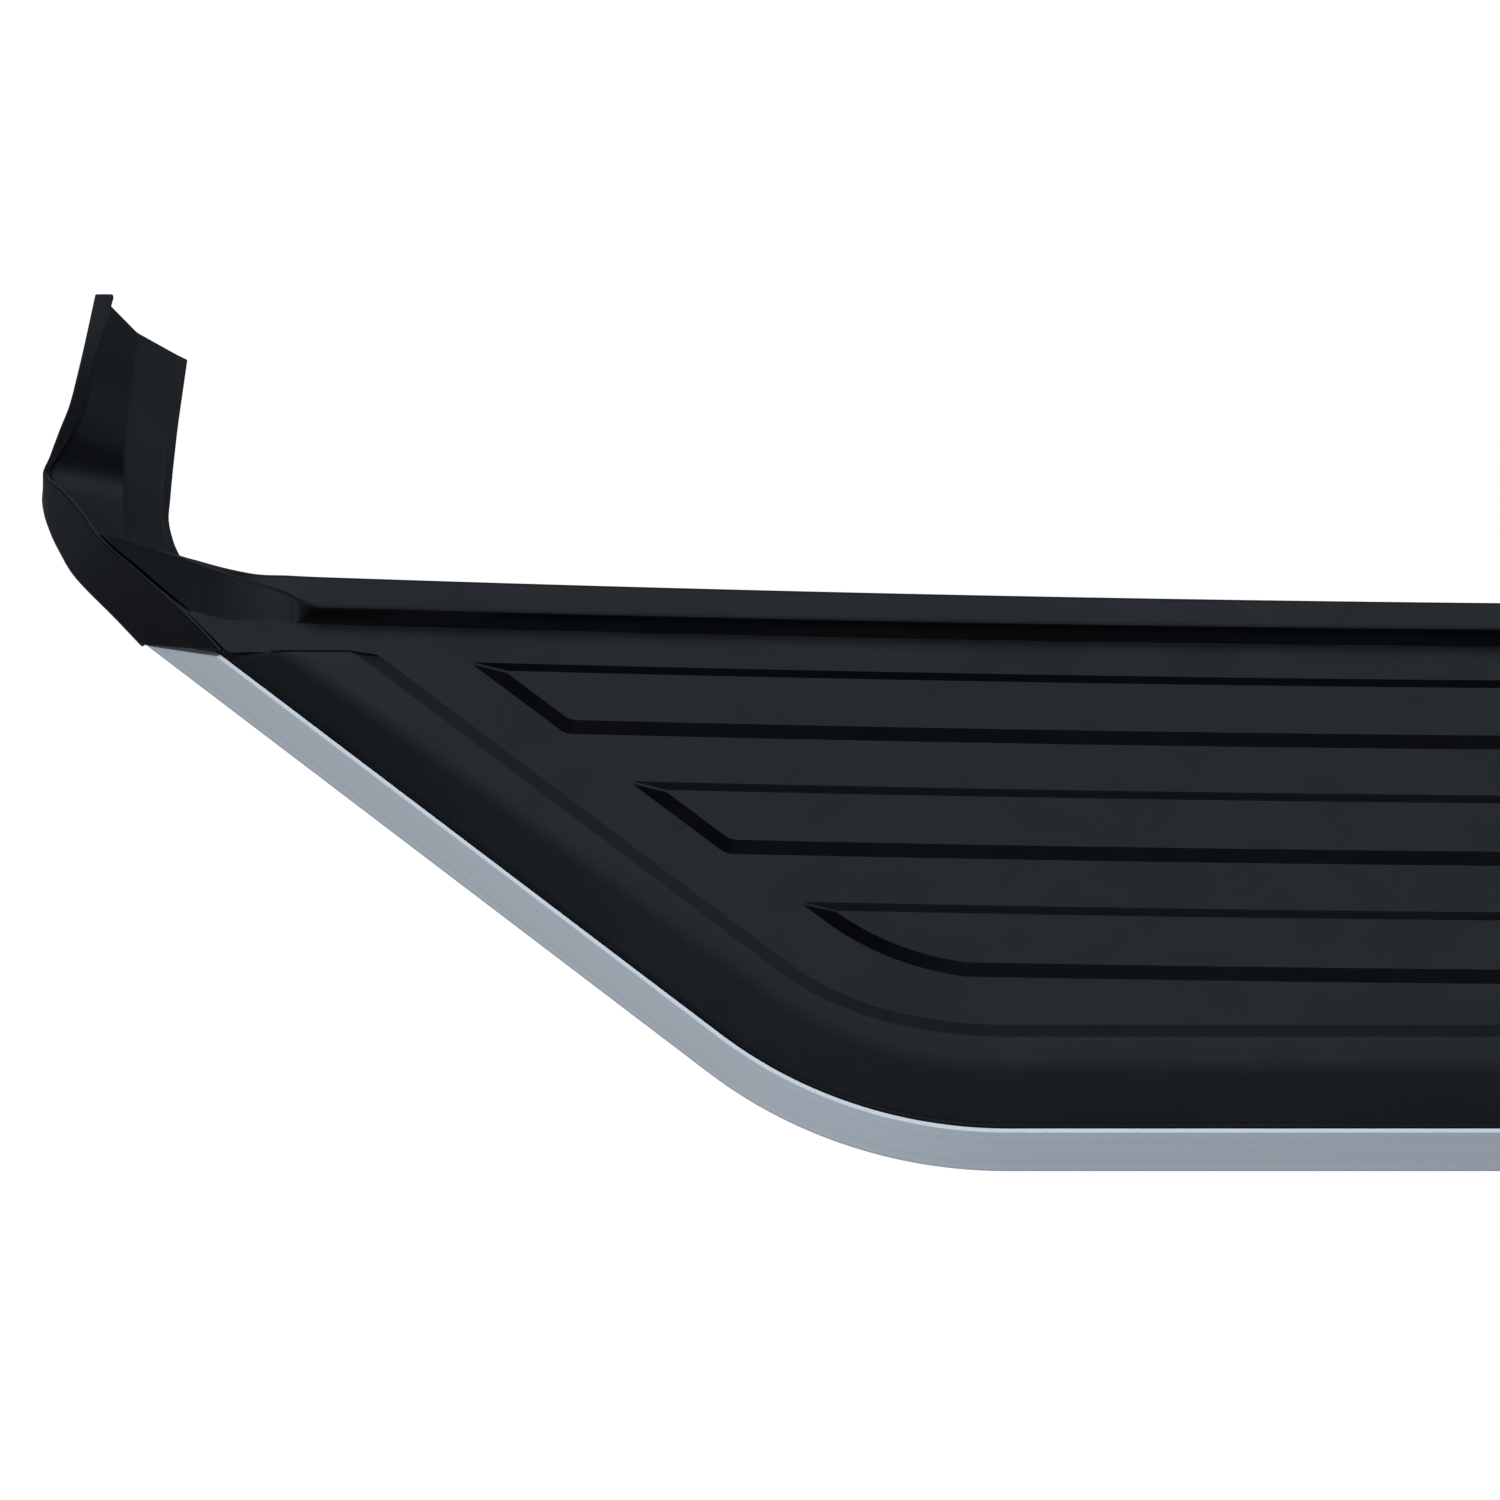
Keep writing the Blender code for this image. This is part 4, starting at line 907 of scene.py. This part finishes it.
# --- Slide brackets ---
# Three pressed-steel brackets in black powder coat: an arm under the core, two stiffening flanges and
# a tab that bolts to the sill. They slide along the core's T-slots until their nuts are tightened.
BRACKET_X = {"left": -400.0, "middle": 0.0, "right": 400.0}
BRACKET_WIDTH, BRACKET_SHEET, BRACKET_FRONT = 50.0, 4.0, 35.0
TAB_BACK, TAB_TOP, TAB_SHEET = 300.0, 35.0, 6.0
ARM_TOP = -28.6
SLOT_Y = (55.0, 150.0)
ARM_OUTLINE = [(BRACKET_FRONT, ARM_TOP), (BRACKET_FRONT, ARM_TOP - BRACKET_SHEET),
               (TAB_BACK, ARM_TOP - BRACKET_SHEET), (TAB_BACK, TAB_TOP), (TAB_BACK - TAB_SHEET, TAB_TOP),
               (TAB_BACK - TAB_SHEET, ARM_TOP)]
FLANGE_OUTLINE = [(BRACKET_FRONT, ARM_TOP - 1.0), (BRACKET_FRONT, -44.0), (60.0, -STAND), (250.0, -STAND),
                  (TAB_BACK - 0.8, -40.0), (TAB_BACK - 0.8, 12.0), (TAB_BACK - 5.2, 12.0),
                  (278.0, ARM_TOP - 1.0)]
FLANGE_SHIFT, FLANGE_SHEET = 23.4, 3.0

PEEL, given, result = effect(
    "powder_peel", {"Position": "Vector", "Peel size": 0.002}, ["Height", "Gloss"])
peel = noise(PEEL, given["Position"], sums(PEEL, "DIVIDE", 1.0, given["Peel size"]))
gives(PEEL, result, Height=peel, Gloss=ramped(PEEL, peel, 0.3, 0.7, -0.04, 0.04))

COATED = new_finish("black_powder_coat", (0.026, 0.0265, 0.0275), 0.42, patterned(PEEL, "Peel size", 0.0016),
                    ((0.09, 0.09, 0.092), 0.0007, 70.0, 0.5), ((0.09, 0.088, 0.083), 0.12), (0.35, 0.00006))


def pressed(name, x, shift, outline, reaches, thickness):
    """Sheet seen from the side as an eased outline, as thick as given about x + shift."""
    profile = eased(outline, reaches, 6)
    return lofted(name, [[(x + shift + half, y, z) for y, z in profile]
                         for half in (-thickness / 2, thickness / 2)])


for side, x in BRACKET_X.items():
    arm = pressed(f"bracket_pressing_{side}", x, 0.0, ARM_OUTLINE, (0.8, 0.8, 7.0, 0.8, 0.8, 4.0),
                  BRACKET_WIDTH)
    flanges = [pressed(f"flange_{shift}", x, shift, FLANGE_OUTLINE, (0, 4.0, 8.0, 8.0, 8.0, 2.0, 0, 0),
                       FLANGE_SHEET) for shift in (-FLANGE_SHIFT, FLANGE_SHIFT)]
    carved(arm, "UNION", flanges)
    front_view = [(x - 25.1, -56.0), (x + 25.1, -56.0), (x + 25.1, TAB_TOP + 0.1), (x - 25.1, TAB_TOP + 0.1)]
    rounding = lofted("rounding", [[(u, y, v) for u, v in eased(front_view, (0, 0, 9.0, 9.0), 8)]
                                   for y in (20.0, 310.0)])
    carved(arm, "INTERSECT", [rounding])
    holes = [lofted(f"slot_hole_{y}", [circle((x, y), radius, z) for z in (ARM_TOP - 9.0, ARM_TOP + 5.0)])
             for y, radius in ((SLOT_Y[0], 4.5), (SLOT_Y[1], 4.5), (102.5, 11.0), (225.0, 11.0))]
    holes += [lofted(f"tab_hole_{z}", [circle((x, z), 5.2, y, 48, "Y") for y in (286.0, 308.0)])
              for z in (-8.0, 20.0)]
    carved(arm, "DIFFERENCE", holes)
    soften = arm.modifiers.new("pressed_edges", "BEVEL")
    soften.width, soften.segments = 0.0004, 2
    soften.limit_method, soften.angle_limit = "ANGLE", math.radians(40)
    fitted(arm, f"bracket_{side}", [f"bracket_{side}"], 30, COATED)

# --- Bracket pads ---
# A rubber pad between each arm and the core, punched for the bolts, that stops rattles and scuffs.
PAD_CORNERS = ((-23.0, 38.0), (23.0, 38.0), (23.0, 168.0), (-23.0, 168.0))
PAD_TOP, PAD_LOW = -26.3, -28.3
for side, x in BRACKET_X.items():
    outline = eased([(x + u, v) for u, v in PAD_CORNERS], (4.0,) * 4, 6)
    pad = lofted(f"pad_sheet_{side}", [[(u, v, z) for u, v in outline]
                                       for z in (PAD_LOW, PAD_LOW + 0.3, PAD_TOP - 0.3, PAD_TOP)])
    carved(pad, "DIFFERENCE", [
        lofted(f"pad_hole_{y}", [circle((x, y), radius, z) for z in (PAD_LOW - 2.0, PAD_TOP + 2.0)])
        for y, radius in ((SLOT_Y[0], 4.5), (SLOT_Y[1], 4.5), (102.5, 11.0))])
    fitted(pad, f"bracket_{side}", [f"bracket_pad_{side}"], 30, RUBBER)

# --- T-bolts, washers and nuts -----------------------------------------------------------------
# Two T-bolts to a bracket: the head runs in the core's T-slot, and a washer and a hexagon nut under
# the arm clamp it. Zinc-plated steel, set from one pattern of each at every bracket's two places.
BOLT_HEAD_LOW, SHANK_LOW = -23.2, -47.0
WASHER_TOP = ARM_TOP - BRACKET_SHEET - 0.3
NUT_TOP = WASHER_TOP - 1.6 - 0.3


def bolt_pattern():
    shank = turned("bolt_pattern", [(3.4, SHANK_LOW), *threaded(4.0, SHANK_LOW + 0.6, -29.0),
                                    (4.0, BOLT_HEAD_LOW + 2.0)], 24)
    corners = eased(((-8.0, -7.5), (8.0, -7.5), (8.0, 7.5), (-8.0, 7.5)), (1.5,) * 4, 4)
    levels = ((0.97, BOLT_HEAD_LOW), (1.0, BOLT_HEAD_LOW + 0.4), (1.0, BOLT_HEAD_LOW + 4.4),
              (0.95, BOLT_HEAD_LOW + 5.0))
    head = lofted("bolt_head", [[(u * k, v * k, z) for u, v in corners] for k, z in levels], from_origin)
    carved(shank, "UNION", [head])
    return shank


def washer_pattern():
    low = WASHER_TOP - 1.6
    disc = turned("washer_pattern", ((8.25, low), (8.5, low + 0.25), (8.5, WASHER_TOP - 0.25),
                                     (8.25, WASHER_TOP)), 64)
    carved(disc, "DIFFERENCE", [turned("bore", ((4.3, low - 3.0), (4.3, WASHER_TOP + 3.0)))])
    return disc


def nut_pattern():
    low, across = NUT_TOP - 7.0, 13.0 / math.sqrt(3)
    nut = turned("nut_pattern", ((across, low), (across, NUT_TOP)), 6)
    carved(nut, "INTERSECT", [turned("chamfer", ((6.4, low - 0.01), (7.6, low + 0.7), (7.6, NUT_TOP - 0.7),
                                                 (6.4, NUT_TOP + 0.01)), 64)])
    carved(nut, "DIFFERENCE", [turned("bore", ((5.1, low - 0.4), (4.3, low + 0.5), (4.3, NUT_TOP - 0.5),
                                               (5.1, NUT_TOP + 0.4)))])
    return nut


for side, x in BRACKET_X.items():
    for node, pattern, angles in (("t_bolt", bolt_pattern, (0.0, 0.0)),
                                  ("washer", washer_pattern, (0.0, 0.0)), ("nut", nut_pattern, (0.35, 0.9))):
        places = [((x, y, 0.0), angle) for y, angle in zip(SLOT_Y, angles)]
        hardware = set_on_places(f"{node}s_{side}", pattern(), places, ZINC)
        fitted(hardware, f"bracket_{side}", [f"{node}_{side}_{n}" for n in (1, 2)])
